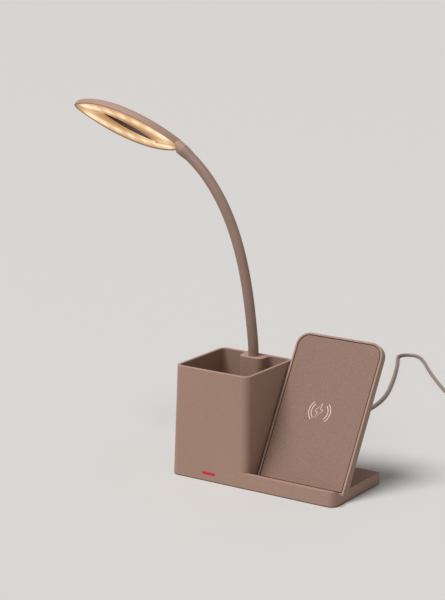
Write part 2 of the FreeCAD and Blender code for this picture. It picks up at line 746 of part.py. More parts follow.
def stand_face():
    """Face plate that the telephone leans on."""
    inset = RIM_WIDTH + FACE_GROOVE
    outline = stand_outline(inset, inset, STAND_CORNER - inset, FACE_LOW_CORNER, coil_seat())
    return plate(outline, STAND_OUT * FACE_THICK)


def coil_seat():
    """Depth of the rear of the face plate, as a distance out from the face (negative is in)."""
    return -(FACE_SINK + FACE_THICK)


def charging_coil():
    """Flat copper coil against the back of the face plate."""
    centre = stand_point(STAND_WIDTH / 2, COIL_HEIGHT, coil_seat())
    rear = centre - STAND_OUT * COIL_THICK
    return rod(COIL_OUTER, rear, centre).cut(rod(COIL_INNER, rear, centre))


def stand_card(left, right, low, high, out, thick, corner):
    """Flat rounded card parallel to the stand's face, from a depth outwards."""
    points = [stand_point(left, low, out), stand_point(right, low, out),
              stand_point(right, high, out), stand_point(left, high, out)]
    return plate(rounded_wire(points, [corner] * 4), STAND_OUT * thick)


def ferrite_sheet():
    """Ferrite tile behind the coil."""
    out = coil_seat() - COIL_THICK - FERRITE_THICK
    half = FERRITE_SIZE / 2
    middle = STAND_WIDTH / 2
    return stand_card(middle - half, middle + half, COIL_HEIGHT - half, COIL_HEIGHT + half,
                      out, FERRITE_THICK, FERRITE_CORNER)


def charger_board():
    """Charging circuit low in the stand, seated on the inside of the back wall."""
    out = STAND_BACK_WALL - STAND_THICK
    middle = STAND_WIDTH / 2
    half = CHARGER_BOARD_WIDTH / 2
    low = CHARGER_BOARD_LOW
    board = stand_card(middle - half, middle + half, low, low + CHARGER_BOARD_HEIGHT,
                       out, CHARGER_BOARD_THICK, BOARD_CORNER)
    chips = []
    for across, up, size, tall in CHARGER_CHIPS:
        x = middle + across
        y = low + up
        root = CHARGER_BOARD_THICK / 2
        chips.append(stand_card(x - size / 2, x + size / 2, y - size / 2, y + size / 2,
                                out + root, tall + root, CHIP_CORNER))
    return joined([board] + chips)


def stand_screws():
    """Screws up through the notch floor into the stand's foot."""
    screws = []
    for place in stand_screw_places():
        seat = place + UP * NOTCH_CEILING
        head = rod(BOARD_HEAD_RADIUS, seat - UP * BOARD_HEAD_THICK, seat)
        shank = rod(SCREW_RADIUS, seat, place + UP * (NOTCH_FLOOR + STAND_SCREW_REACH - STAND_SCREW_ROOM))
        screws.append(joined([head, shank]))
    return Part.makeCompound(screws)


# ---------------------------------------------------------------- neck

def neck_stations():
    """Distances along the neck of the boss top, each joint and the head's end."""
    joints = [NECK_FIRST_JOINT + NECK_PITCH * i for i in range(NECK_JOINTS)]
    return [0.0] + joints + [NECK_LENGTH]


def neck_lean(distance):
    """Lean from upright, in radians, at a distance above the boss."""
    if distance <= 0:
        return 0.0
    share = (distance / NECK_LENGTH) ** NECK_CURL
    return math.radians(NECK_LEAN_FOOT + (NECK_LEAN_END - NECK_LEAN_FOOT) * share)


def direction(lean):
    """Direction of the neck where it leans to the left by an angle."""
    return Vec(-math.sin(lean), 0, math.cos(lean))


def neck_points():
    """Places of the stations: each length between two of them is one circular arc."""
    stations = neck_stations()
    points = [Vec(NECK_X, NECK_Y, CUP_TOP)]
    for i in range(len(stations) - 1):
        start = neck_lean(stations[i])
        end = neck_lean(stations[i + 1])
        radius = (stations[i + 1] - stations[i]) / (end - start)
        step = Vec(math.cos(end) - math.cos(start), 0, math.sin(end) - math.sin(start)) * radius
        points.append(points[-1] + step)
    return points


def neck_arc(index, radius):
    """Bent round bar along one length of the neck."""
    stations = neck_stations()
    start = neck_lean(stations[index])
    end = neck_lean(stations[index + 1])
    bend = (stations[index + 1] - stations[index]) / (end - start)
    place = neck_points()[index]
    centre = place + Vec(-math.cos(start), 0, -math.sin(start)) * bend
    disc = Part.Face(Part.Wire(Part.makeCircle(radius, place, direction(start))))
    return disc.revolve(centre, BACK * -1, math.degrees(end - start))


def neck_ends(index):
    """Start point, start direction, end point and end direction of one length."""
    stations = neck_stations()
    points = neck_points()
    start_way = direction(neck_lean(stations[index]))
    end_way = direction(neck_lean(stations[index + 1]))
    return points[index], start_way, points[index + 1], end_way


def neck_length(index):
    """Sleeve and core of one length, with a bowl at its lower end and a dome at its upper end."""
    start, start_way, end, end_way = neck_ends(index)
    first = index == 0
    last = index == NECK_JOINTS
    outer = [neck_arc(index, NECK_RADIUS)]
    inner = [neck_arc(index, CORE_RADIUS)]
    hollow = [neck_arc(index, CORE_RADIUS + SLEEVE_FIT)]
    if not last:
        outer.append(Part.makeSphere(NECK_RADIUS, end))
        past_dome = end + end_way * (2 * NECK_RADIUS)
        inner.append(rod(CORE_RADIUS, end, past_dome))
        hollow.append(rod(CORE_RADIUS + SLEEVE_FIT, end, past_dome))
    if first:
        foot = start - UP * SLEEVE_SEAT
        outer.append(rod(NECK_RADIUS, foot, start))
        inner.append(rod(CORE_RADIUS, foot, start))
        hollow.append(rod(CORE_RADIUS + SLEEVE_FIT, foot, start))
    body = joined(outer)
    core = joined(inner).common(body)
    if last:
        core = joined([core, rod(CORE_RADIUS, end, end + end_way * CORE_TAIL)])
    sleeve = body.cut(joined(hollow))
    if not first:
        bowl = Part.makeSphere(NECK_RADIUS + JOINT_GAP, start)
        sleeve = sleeve.cut(bowl)
        core = core.cut(bowl)
    return sleeve, core


def thread_end():
    """Height of the threaded end's lower face, inside the boss."""
    return CUP_TOP - BOSS_ROOF - WASHER_THICK - NUT_THICK - THREAD_TAIL


def neck_ferrule():
    """Threaded steel tube welded on the neck's lower end."""
    axis = Vec(NECK_X, NECK_Y, 0)
    top = CUP_TOP - SLEEVE_SEAT
    outer = rod(THREAD_RADIUS, axis + UP * thread_end(), axis + UP * top)
    return outer.cut(rod(THREAD_BORE, axis + UP * thread_end(), axis + UP * top))


def neck_washer():
    """Toothed washer under the boss roof, kept plain here."""
    axis = Vec(NECK_X, NECK_Y, CUP_TOP - BOSS_ROOF)
    body = rod(WASHER_RADIUS, axis - UP * WASHER_THICK, axis)
    return body.cut(rod(THREAD_RADIUS + THREAD_FIT, axis - UP * WASHER_THICK, axis))


def neck_nut():
    """Thin hexagon nut that pulls the threaded end down."""
    axis = Vec(NECK_X, NECK_Y, CUP_TOP - BOSS_ROOF - WASHER_THICK)
    across = NUT_FLATS / math.sqrt(3)
    corners = [axis + Vec(math.cos(math.radians(60 * i)), math.sin(math.radians(60 * i)), 0) * across
               for i in range(6)]
    body = plate(Part.makePolygon(corners + corners[:1]), UP * -NUT_THICK)
    return body.cut(rod(THREAD_RADIUS + THREAD_FIT, axis - UP * NUT_THICK, axis))


def lamp_lead():
    """Two-core lead from the neck's end down to the main board."""
    axis = Vec(NECK_X, NECK_Y, 0)
    return rod(LEAD_RADIUS, axis + UP * BOARD_TOP, axis + UP * (CUP_TOP - SLEEVE_SEAT))


# ---------------------------------------------------------------- lamp head

def head_directions():
    """The head's own axes: along the leaf, across it, and out of its back."""
    rise = math.radians(HEAD_RISE)
    roll = math.radians(HEAD_ROLL)
    along = Vec(-math.cos(rise), 0, math.sin(rise))
    upright = Vec(math.sin(rise), 0, math.cos(rise))
    across = BACK * -math.cos(roll) + upright * math.sin(roll)
    out = upright * math.cos(roll) + BACK * math.sin(roll)
    return along, across, out


def nose_corner():
    """Where the neck's line meets the head's line, inside the nose."""
    start, start_way, end, end_way = neck_ends(NECK_JOINTS)
    return end + end_way * (CORE_TAIL + NOSE_INSET)


def head_placement():
    """Placement that carries a leaf modelled flat, lit side down, onto the neck."""
    along, across, out = head_directions()
    local = Vec(-HEAD_LENGTH / 2 + NOSE_INSET, 0, NOSE_OFFSET)
    centre = nose_corner() - along * local.x - across * local.y - out * local.z
    matrix = FreeCAD.Matrix(along.x, across.x, out.x, centre.x,
                            along.y, across.y, out.y, centre.y,
                            along.z, across.z, out.z, centre.z,
                            0, 0, 0, 1)
    return FreeCAD.Placement(matrix)


def place_on_head(shape):
    """Copy of a flat-modelled shape, carried onto the neck."""
    moved = shape.copy()
    moved.transformShape(head_placement().toMatrix())
    return moved


def leaf_wire(length, width, tip, z):
    """Leaf outline: two long arcs that meet in two rounded tips."""
    half = length / 2
    rise = width / 2
    # The tip circle sits inside the end; each side arc is tangent to both tip circles.
    reach = half - tip
    side = (reach * reach + rise * rise - tip * tip) / (2 * (rise - tip))
    centre_drop = side - rise
    span = math.hypot(reach, centre_drop)
    touch_x = reach + tip * reach / span
    touch_y = tip * centre_drop / span
    edges = [
        Part.Arc(Vec(touch_x, touch_y, z), Vec(0, rise, z), Vec(-touch_x, touch_y, z)).toShape(),
        Part.Arc(Vec(-touch_x, touch_y, z), Vec(-half, 0, z), Vec(-touch_x, -touch_y, z)).toShape(),
        Part.Arc(Vec(-touch_x, -touch_y, z), Vec(0, -rise, z), Vec(touch_x, -touch_y, z)).toShape(),
        Part.Arc(Vec(touch_x, -touch_y, z), Vec(half, 0, z), Vec(touch_x, touch_y, z)).toShape(),
    ]
    return Part.Wire(edges)


def leaf_plate(inset, z_low, z_high):
    """Flat leaf inside the shell's outline by an inset, between two heights."""
    tip = max(HEAD_TIP_RADIUS - inset, LEAF_TIP_LEAST)
    wire = leaf_wire(HEAD_LENGTH - 2 * inset, HEAD_WIDTH - 2 * inset, tip, z_low)
    return plate(wire, UP * (z_high - z_low))


def slot_plate(outset, z_low, z_high):
    """Block that fills the slot, grown by an outset, between two heights."""
    wire = leaf_wire(SLOT_LENGTH + 2 * outset, SLOT_WIDTH + 2 * outset, SLOT_TIP_RADIUS + outset, z_low)
    wire.translate(RIGHT * -SLOT_OFFSET)
    wire.rotate(Vec(), UP, SLOT_TURN)
    return plate(wire, UP * (z_high - z_low))


def upper_edges(ring, inset, z_high, beside_slot):
    """Upper edges of a leaf ring: those beside the slot, or those along the outline."""
    found = []
    for edge in ring.Edges:
        if edge.BoundBox.ZMin < z_high - 0.01:
            continue
        middle = edge.valueAt((edge.FirstParameter + edge.LastParameter) / 2)
        near_x = abs(middle.x + SLOT_OFFSET) < SLOT_LENGTH / 2 + inset + 1
        near_y = abs(middle.y) < SLOT_WIDTH / 2 + inset + 1
        if (near_x and near_y) == beside_slot:
            found.append(edge)
    return found


def rounded_leaf(inset, outer_round, inner_round, z_low, z_high):
    """Leaf ring between the shell's outline and the slot, with both upper edges rounded."""
    ring = leaf_plate(inset, z_low, z_high).cut(slot_plate(inset, z_low - 1, z_high + 1))
    ring = ring.makeFillet(outer_round, upper_edges(ring, inset, z_high, False))
    return ring.makeFillet(inner_round, upper_edges(ring, inset, z_high, True))


def nose_shapes():
    """Outside of the nose: a barrel on the neck's line, then a taper into the leaf's back."""
    to_flat = head_placement().inverse()
    start, start_way, end, end_way = neck_ends(NECK_JOINTS)
    corner = to_flat.multVec(nose_corner())
    mouth = to_flat.multVec(end - end_way * HEAD_SEAT)
    far = Vec(corner.x + NOSE_REACH, 0, HEAD_THICK / 2)
    return joined([rod(NOSE_RADIUS, mouth, corner), Part.makeSphere(NOSE_RADIUS, corner),
                   cone(NOSE_RADIUS, HEAD_THICK / 2 - 0.2, corner, far)])


def head_posts():
    """Places of the two posts in the head that the light board is screwed to."""
    reach = LED_ROW_REACH + HEAD_POST_OUTSET
    return [Vec(side * reach, 0, 0) for side in (-1, 1)]


def head_shell():
    """Back shell of the leaf with the nose that grips the neck."""
    solid = rounded_leaf(0, HEAD_ROUND, SLOT_ROUND, 0, HEAD_THICK)
    nose = nose_shapes()
    # Nothing of the nose stands in front of the lit side.
    nose = nose.cut(leaf_plate(0, -NOSE_REACH, 0))
    solid = joined([solid, nose])
    room = rounded_leaf(HEAD_WALL, HEAD_ROUND - HEAD_WALL, SLOT_ROUND - HEAD_WALL,
                        -HEAD_WALL, HEAD_THICK - HEAD_WALL)
    solid = solid.cut(room)
    board_top = LED_BOARD_HEIGHT + LED_BOARD_THICK
    posts = [rod(HEAD_POST_RADIUS, place + UP * board_top, place + UP * (HEAD_THICK - HEAD_WALL / 2))
             for place in head_posts()]
    solid = joined([solid] + posts)
    for place in head_posts():
        solid = solid.cut(rod(HEAD_SCREW_RADIUS + SCREW_FIT, place, place + UP * (HEAD_THICK - HEAD_WALL)))
    solid = place_on_head(solid)
    start, start_way, end, end_way = neck_ends(NECK_JOINTS)
    bore = rod(NECK_RADIUS + NECK_HOLE_FIT, end - end_way * (HEAD_SEAT + NOSE_RADIUS), end)
    core_bore = rod(CORE_RADIUS + NECK_HOLE_FIT, end, end + end_way * (CORE_TAIL + NECK_HOLE_FIT))
    wire_hole = rod(LEAD_RADIUS, end, end + end_way * (CORE_TAIL + NOSE_RADIUS))
    return solid.cut(bore).cut(core_bore).cut(wire_hole)


def head_screws():
    """Two small screws that hold the light board."""
    screws = []
    for place in head_posts():
        seat = place + UP * LED_BOARD_HEIGHT
        head = rod(HEAD_SCREW_HEAD_RADIUS, seat - UP * HEAD_SCREW_HEAD, seat)
        shank = rod(HEAD_SCREW_RADIUS, seat, place + UP * (HEAD_THICK - HEAD_WALL - HEAD_SCREW_ROOM))
        screws.append(joined([head, shank]))
    return place_on_head(Part.makeCompound(screws))


def head_diffuser():
    """Milky plate that closes the lit side, with the slot through it."""
    inset = HEAD_WALL + DIFFUSER_FIT
    body = leaf_plate(inset, DIFFUSER_SINK, DIFFUSER_SINK + DIFFUSER_THICK)
    return place_on_head(body.cut(slot_plate(inset, -1, HEAD_THICK)))


def head_board():
    """Ring-shaped aluminium board inside the head, seated on the shell's back wall."""
    inset = HEAD_WALL + LED_BOARD_MARGIN
    body = leaf_plate(inset, LED_BOARD_HEIGHT, LED_BOARD_HEIGHT + LED_BOARD_THICK)
    body = body.cut(slot_plate(inset, -1, HEAD_THICK))
    for place in head_posts():
        body = body.cut(rod(HEAD_SCREW_RADIUS + SCREW_FIT, place, place + UP * HEAD_THICK))
    return place_on_head(body)


def head_leds():
    """Light-emitting chips in two rows, one along each side of the leaf."""
    chips = []
    for side in (-1, 1):
        for step in range(LED_PER_SIDE):
            angle = math.pi * (step + 0.5) / LED_PER_SIDE
            x = LED_ROW_REACH * math.cos(angle)
            bow = HEAD_WIDTH / 2 * (1 - (2 * x / HEAD_LENGTH) ** 2)
            y = side * (bow - LED_ROW_INSET)
            half = LED_SIZE / 2
            chips.append(box(Vec(x - half, y - half, LED_BOARD_HEIGHT - LED_THICK),
                             Vec(x + half, y + half, LED_BOARD_HEIGHT)))
    return place_on_head(Part.makeCompound(chips))


# ---------------------------------------------------------------- cable

def cable_route():
    """Hand-laid route of the cable, from the strain relief to the coil of its unseen length."""
    low = CABLE_RADIUS
    plug = inlet_centre()
    leave = plug + BACK * (PLUG_BODY_LENGTH + RELIEF_LENGTH)
    return [
        leave,
        leave + Vec(0, 18, -0.6),
        Vec(-42.0, 108, low + 1.2),
        Vec(-40.5, 138, low),
        Vec(-36.0, 172, low),
        Vec(-33.0, 208, low),
        Vec(-35.0, 246, low),
        Vec(-45.0, 285, low),
        Vec(-62.0, 328, low),
        Vec(-82.0, 374, low),
        Vec(-96.0, 403, low),
        Vec(-105.5, 421, low),
        Vec(-99.3, 431.8, low),
        Vec(-87.0, 433.1, low),
        Vec(-72.2, 416.9, low),
        Vec(-52.0, 388, low),
        Vec(-22.0, 350, low),
        Vec(1.0, 323, low),
        Vec(18.0, 310.6, low),
        Vec(36.0, 309.3, low),
    ]


def cable_path(points):
    """Straight runs joined by tangent arcs, each as large as its two runs allow."""
    edges = []
    radii = []
    start = points[0]
    for i in range(1, len(points) - 1):
        back = points[i - 1] - points[i]
        ahead = points[i + 1] - points[i]
        shorter = min(back.Length, ahead.Length)
        turn = math.pi - back.getAngle(ahead)
        reach = 0.45 * shorter
        radius = reach / math.tan(turn / 2)
        radii.append(radius)
        one = points[i] + back.normalize() * reach
        two = points[i] + ahead.normalize() * reach
        middle = (back + ahead).normalize()
        depth = radius / math.cos(turn / 2) - radius
        edges.append(Part.LineSegment(start, one).toShape())
        edges.append(Part.Arc(one, points[i] + middle * depth, two).toShape())
        start = two
    edges.append(Part.LineSegment(start, points[-1]).toShape())
    return Part.Wire(edges), radii


def coil_outer():
    """Outer radius of the wound coil."""
    return COIL_MID_RADIUS + COIL_ROWS * CABLE_RADIUS


def cable_coil():
    """Wound part of the cable, as one ring of its outer shape."""
    height = COIL_LAYERS * 2 * CABLE_RADIUS
    inner = COIL_MID_RADIUS - COIL_ROWS * CABLE_RADIUS
    ring = rod(coil_outer(), COIL_CENTRE, COIL_CENTRE + UP * height)
    return ring.cut(rod(inner, COIL_CENTRE, COIL_CENTRE + UP * height))


def cable_tube():
    """Laid part of the cable."""
    points = cable_route()
    path, radii = cable_path(points)
    start_way = points[1] - points[0]
    disc = Part.Wire(Part.makeCircle(CABLE_RADIUS, points[0], start_way))
    tube = path.makePipeShell([disc], True, False)
    print("cable: smallest radius %.1f, all radii %s" % (min(radii), [round(r, 1) for r in radii]))
    print("cable: laid length %.1f, volume %.1f, section times length %.1f"
          % (path.Length, tube.Volume, math.pi * CABLE_RADIUS ** 2 * path.Length))
    tail, tail_radii = cable_path(tail_route())
    turns = (CABLE_LENGTH - path.Length - tail.Length) / (2 * math.pi * COIL_MID_RADIUS)
    print("cable: %.2f turns in the coil, tail %.1f long" % (turns, tail.Length))
    return tube.cut(cable_coil()).cut(usb_c_relief())


def usb_c_plug_shell():
    """Steel nose of the plug, inside the inlet."""
    mouth = inlet_centre()
    start = mouth - BACK * PLUG_INSERT
    walls = 2 * PLUG_SHELL_WALL
    shell = slot_block(PLUG_SHELL_WIDTH, PLUG_SHELL_HEIGHT, PLUG_INSERT, start, BACK)
    room = slot_block(PLUG_SHELL_WIDTH - walls, PLUG_SHELL_HEIGHT - walls, PLUG_INSERT, start, BACK)
    return shell.cut(room)


def usb_c_plug_body():
    """Moulded grip of the plug, against the cup's rear face."""
    mouth = inlet_centre()
    return slot_block(PLUG_BODY_WIDTH, PLUG_BODY_HEIGHT, PLUG_BODY_LENGTH, mouth + BACK * PLUG_GAP, BACK)


def usb_c_relief():
    """Tapered strain relief of the plug."""
    start = inlet_centre() + BACK * (PLUG_GAP + PLUG_BODY_LENGTH)
    end = inlet_centre() + BACK * (PLUG_BODY_LENGTH + RELIEF_LENGTH)
    return cone(RELIEF_RADIUS, RELIEF_END_RADIUS, start, end)


def tail_route():
    """Route of the cable's last stretch, from the coil's upper layer round to the far plug."""
    low = CABLE_RADIUS
    upper = low * (2 * COIL_LAYERS - 1)
    plug = USB_A_BODY_HEIGHT / 2
    return [
        Vec(60.7, 334.0, upper),
        Vec(61.0, 346.0, upper - 0.4),
        Vec(67.7, 356.0, low + 0.4),
        Vec(79.6, 357.6, low),
        Vec(88.5, 349.6, low + 0.6),
        Vec(88.5, 338.6, plug),
    ]


def far_plug_back():
    """Rear end of the far plug's grip, where its relief starts. The plug points to the front."""
    return tail_route()[-1] - BACK * RELIEF_LENGTH


def usb_a_plug_body():
    """Moulded grip of the far plug, lying beside the coil."""
    place = far_plug_back()
    points = rectangle_points(place.x - USB_A_BODY_WIDTH / 2, place.x + USB_A_BODY_WIDTH / 2,
                              place.y - USB_A_BODY_LENGTH, place.y, 0)
    return plate(rounded_wire(points, [USB_A_CORNER] * 4), UP * USB_A_BODY_HEIGHT)


def usb_a_plug_shell():
    """Steel tongue of the far plug."""
    grip = far_plug_back() - BACK * USB_A_BODY_LENGTH
    mouth = grip - BACK * USB_A_SHELL_LENGTH
    outer = Vec(USB_A_SHELL_WIDTH / 2, 0, USB_A_SHELL_HEIGHT / 2)
    inner = outer - Vec(USB_A_SHELL_WALL, 0, USB_A_SHELL_WALL)
    shell = box(mouth - outer, grip + outer).cut(box(mouth - inner, grip + inner))
    setback = BACK * USB_A_TONGUE_SETBACK
    tongue = box(mouth - inner + setback, grip + Vec(inner.x, 0, -USB_A_TONGUE_DROP))
    return joined([shell, tongue])


def usb_a_relief():
    """Tapered strain relief of the far plug, which meets the cable's tail."""
    start = far_plug_back()
    return cone(RELIEF_RADIUS, RELIEF_END_RADIUS, start, start + BACK * RELIEF_LENGTH)


def cable_tail():
    """Short stretch of the cable from the coil to the far plug."""
    points = tail_route()
    path, radii = cable_path(points)
    disc = Part.Wire(Part.makeCircle(CABLE_RADIUS, points[0], points[1] - points[0]))
    tube = path.makePipeShell([disc], True, False)
    print("tail: smallest radius %.1f, volume %.1f, section times length %.1f"
          % (min(radii), tube.Volume, math.pi * CABLE_RADIUS ** 2 * path.Length))
    return tube.cut(cable_coil()).cut(usb_a_relief())


def cable_tie():
    """Soft band around one side of the coil."""
    height = COIL_LAYERS * 2 * CABLE_RADIUS
    inner = COIL_MID_RADIUS - COIL_ROWS * CABLE_RADIUS
    low = Vec(COIL_CENTRE.x - TIE_WIDTH / 2, COIL_CENTRE.y + inner - TIE_THICK, 0)
    high = Vec(COIL_CENTRE.x + TIE_WIDTH / 2, COIL_CENTRE.y + coil_outer() + TIE_THICK, height + TIE_THICK)
    return box(low, high).cut(cable_coil())


# ---------------------------------------------------------------- write every piece

PIECES = {
    "housing": housing,
    "bottom_cover": bottom_cover,
    "grip_pad": grip_pad,
    "cover_screws": cover_screws,
    "ballast_plate": ballast_plate,
    "main_board": main_board,
    "board_parts": board_parts,
    "board_screws": board_screws,
    "usb_c_socket": usb_c_socket,
    "indicator_window": indicator_window,
    "indicator_led": indicator_led,
    "touch_pad": touch_pad,
    "stand_shell": stand_shell,
    "stand_face": stand_face,
    "charging_coil": charging_coil,
    "ferrite_sheet": ferrite_sheet,
    "charger_board": charger_board,
    "stand_screws": stand_screws,
    "neck_ferrule": neck_ferrule,
    "neck_washer": neck_washer,
    "neck_nut": neck_nut,
    "lamp_lead": lamp_lead,
    "head_shell": head_shell,
    "head_diffuser": head_diffuser,
    "head_board": head_board,
    "head_leds": head_leds,
    "head_screws": head_screws,
    "usb_c_plug_shell": usb_c_plug_shell,
    "usb_c_plug_body": usb_c_plug_body,
    "usb_c_relief": usb_c_relief,
    "cable_tube": cable_tube,
    "cable_coil": cable_coil,
    "cable_tail": cable_tail,
    "cable_tie": cable_tie,
    "usb_a_plug_body": usb_a_plug_body,
    "usb_a_plug_shell": usb_a_plug_shell,
    "usb_a_relief": usb_a_relief,
}

for name, maker in PIECES.items():
    save(name, maker())

for index in range(NECK_JOINTS + 1):
    sleeve, core = neck_length(index)
    save("neck_sleeve_%d" % index, sleeve)
    save("neck_core_%d" % index, core)
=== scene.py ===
# %% [markdown]
# # A desk lamp with a pen cup and a charging stand
# The real object is a low moulded base. On its left stands a square pen cup, and on its right a
# tilted plate charges a telephone. A flexible neck leaves the back of the cup and carries a
# leaf-shaped lamp head with a slot through it.
#
# The solid model is loaded first and stays as it is. Everything below dresses it, in metres:
# each piece is built in its own place, and all but the neck's skin ride on the body that they belong to.

# %% The solid model
import math

import bmesh
import bpy
from mathutils import Matrix, Vector


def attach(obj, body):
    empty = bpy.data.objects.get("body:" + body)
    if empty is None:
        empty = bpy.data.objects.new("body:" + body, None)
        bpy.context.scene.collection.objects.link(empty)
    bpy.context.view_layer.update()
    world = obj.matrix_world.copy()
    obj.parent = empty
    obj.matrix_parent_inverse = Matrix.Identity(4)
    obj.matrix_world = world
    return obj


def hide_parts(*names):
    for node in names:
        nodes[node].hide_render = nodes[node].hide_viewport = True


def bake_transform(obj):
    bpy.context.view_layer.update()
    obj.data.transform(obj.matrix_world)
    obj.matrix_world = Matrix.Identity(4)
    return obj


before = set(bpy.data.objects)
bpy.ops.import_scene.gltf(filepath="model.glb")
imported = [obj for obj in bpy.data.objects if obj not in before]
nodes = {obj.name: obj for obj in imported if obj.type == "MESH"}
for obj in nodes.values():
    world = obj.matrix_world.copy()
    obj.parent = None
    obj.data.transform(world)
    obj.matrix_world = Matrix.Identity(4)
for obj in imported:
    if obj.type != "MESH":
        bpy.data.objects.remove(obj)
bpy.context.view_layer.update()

scene = bpy.context.scene

# %% [markdown]
# ## The camera
# The lamp is seen from the front right and a little from above, with a long lens. A pinhole
# camera needs a place, three turns and a focal length. It starts out looking straight down. The
# turns are put together as matrices: round the upright, up to the horizon, and a little roll.

# %% Camera
CAMERA_PLACE = Vector((0.83225, -1.38472, 0.53392))
CAMERA_YAW = math.radians(32.6605)
CAMERA_PITCH = math.radians(13.1855)
CAMERA_ROLL = math.radians(0.8271)
CAMERA_LENS = 119.411      # with the sensor, in millimetres
CAMERA_SENSOR = 36.0
FAR_CLIP = 60.0

camera_data = bpy.data.cameras.new("camera")
camera_data.lens = CAMERA_LENS
camera_data.sensor_width = CAMERA_SENSOR
camera_data.clip_end = FAR_CLIP
camera = bpy.data.objects.new("camera", camera_data)
camera.matrix_world = (Matrix.Translation(CAMERA_PLACE) @ Matrix.Rotation(CAMERA_YAW, 4, "Z")
                       @ Matrix.Rotation(math.pi / 2 - CAMERA_PITCH, 4, "X")
                       @ Matrix.Rotation(CAMERA_ROLL, 4, "Z"))
scene.collection.objects.link(camera)
scene.camera = camera
print("camera at", [round(v, 3) for v in CAMERA_PLACE])

# %% [markdown]
# ## Small helpers
# A finish is a tree of nodes and links, and so is a shape that is grown by rule. Helpers keep
# both short: one sets a node's values, one adds a node, one joins two sockets and one starts a
# material, whose main shader takes what is the same all over a surface.

# %% Nodes and links
def adjust(node, **settings):
    """Set a node's properties, or the values of its inputs."""
    for key, value in settings.items():
        if hasattr(node, key):
            setattr(node, key, value)
        else:
            node.inputs[key.replace("_", " ")].default_value = value


def add_node(tree, kind, **settings):
    """New node of a kind, with its settings."""
    node = tree.nodes.new(kind)
    adjust(node, **settings)
    return node


def join(source, outlet, target, inlet):
    """Link from an outlet of one node to an inlet of another."""
    source.id_data.links.new(source.outputs[outlet], target.inputs[inlet])


def start_material(name):
    """New node material. Returns it with its tree and its main shader."""
    material = bpy.data.materials.new(name)
    material.use_nodes = True
    tree = material.node_tree
    return material, tree, tree.nodes["Principled BSDF"]


print("helpers for nodes ready")

# %% [markdown]
# ## How a finish varies
# No real surface has one even colour and shine. Each finish here starts from a texture in the
# piece's own coordinates. In most of them one texture moves the colour, the roughness and the
# fine relief together, because on a real surface they come from the same cause.

# %% Colours
def linear(red, green, blue):
    """Colour as a screen shows it, 0 to 255, turned into the light value a shader needs."""
    def one(value):
        value = value / 255
        return value / 12.92 if value <= 0.04045 else ((value + 0.055) / 1.055) ** 2.4
    return one(red), one(green), one(blue)


def shade(colour, factor):
    """Colour made darker or lighter."""
    return tuple(min(1.0, channel * factor) for channel in colour)


print("mid grey gives", round(linear(128, 128, 128)[0], 3), "of the light of white")

# %% Patterns
WHOLE_RANGE = (0.0, 1.0)
NOISE_RANGE = (0.3, 0.7)   # a noise seldom leaves this range


def pattern(tree, kind="Noise", squeezed=(1.0, 1.0, 1.0), **settings):
    """Texture in the object's own coordinates, squeezed along each axis by a factor."""
    place = add_node(tree, "ShaderNodeTexCoord")
    squeeze = add_node(tree, "ShaderNodeMapping", Scale=squeezed)
    texture = add_node(tree, "ShaderNodeTex" + kind, **settings)
    join(place, "Object", squeeze, "Vector")
    join(squeeze, "Vector", texture, "Vector")
    return texture


def colour_ramp(texture, low, high, between=NOISE_RANGE):
    """Colour that follows a texture, from one colour to another between two of its values."""
    ramp = add_node(texture.id_data, "ShaderNodeValToRGB")
    for stop, place, colour in zip(ramp.color_ramp.elements, between, (low, high)):
        stop.position = place
        stop.color = (*colour, 1)
    join(texture, "Fac", ramp, "Fac")
    return ramp


def tint_by(texture, shader, colour, darker, lighter):
    """Base colour that follows a texture, between two shades of a colour."""
    ramp = colour_ramp(texture, shade(colour, darker), shade(colour, lighter))
    join(ramp, "Color", shader, "Base Color")


def dull_by(texture, shader, low, high, between=WHOLE_RANGE):
    """Roughness that follows a texture, from low to high between two of its values."""
    dull = add_node(texture.id_data, "ShaderNodeMapRange", From_Min=between[0], From_Max=between[1],
                    To_Min=low, To_Max=high)
    join(texture, "Fac", dull, "Value")
    join(dull, "Result", shader, "Roughness")


def bump_by(texture, target, relief, strength):
    """Bump of a relief in metres, for a shader or for a finer bump on top of it."""
    bump = add_node(texture.id_data, "ShaderNodeBump", Distance=relief, Strength=strength)
    join(texture, "Fac", bump, "Height")
    join(bump, "Normal", target, "Normal")
    return bump


print("a noise is read between", NOISE_RANGE)

# %% [markdown]
# ## Moulded plastic
# The housing is injection-moulded in a steel tool whose surface was spark-eroded. That leaves a
# fine, even grain like fine sand, which scatters light and hides scratches. Three scales make
# it believable: a slow drift of colour, a grain of about a millimetre, and a finer grain that
# only the bump sees. The roughness follows the grain, because its hollows are duller. The
# ferrite sheet and the printed ink have the same sort of grain, so they are made alike.

# %% Moulded plastic
GRAIN_RANGE = (0.34, 0.66)
MIDDLE_RANGE = (0.35, 0.65)
DRIFT_DARK = (0.95, 0.95, 0.95)
WHITE = (1.0, 1.0, 1.0)
FINER = 3.1                # times as fine as the grain that is seen


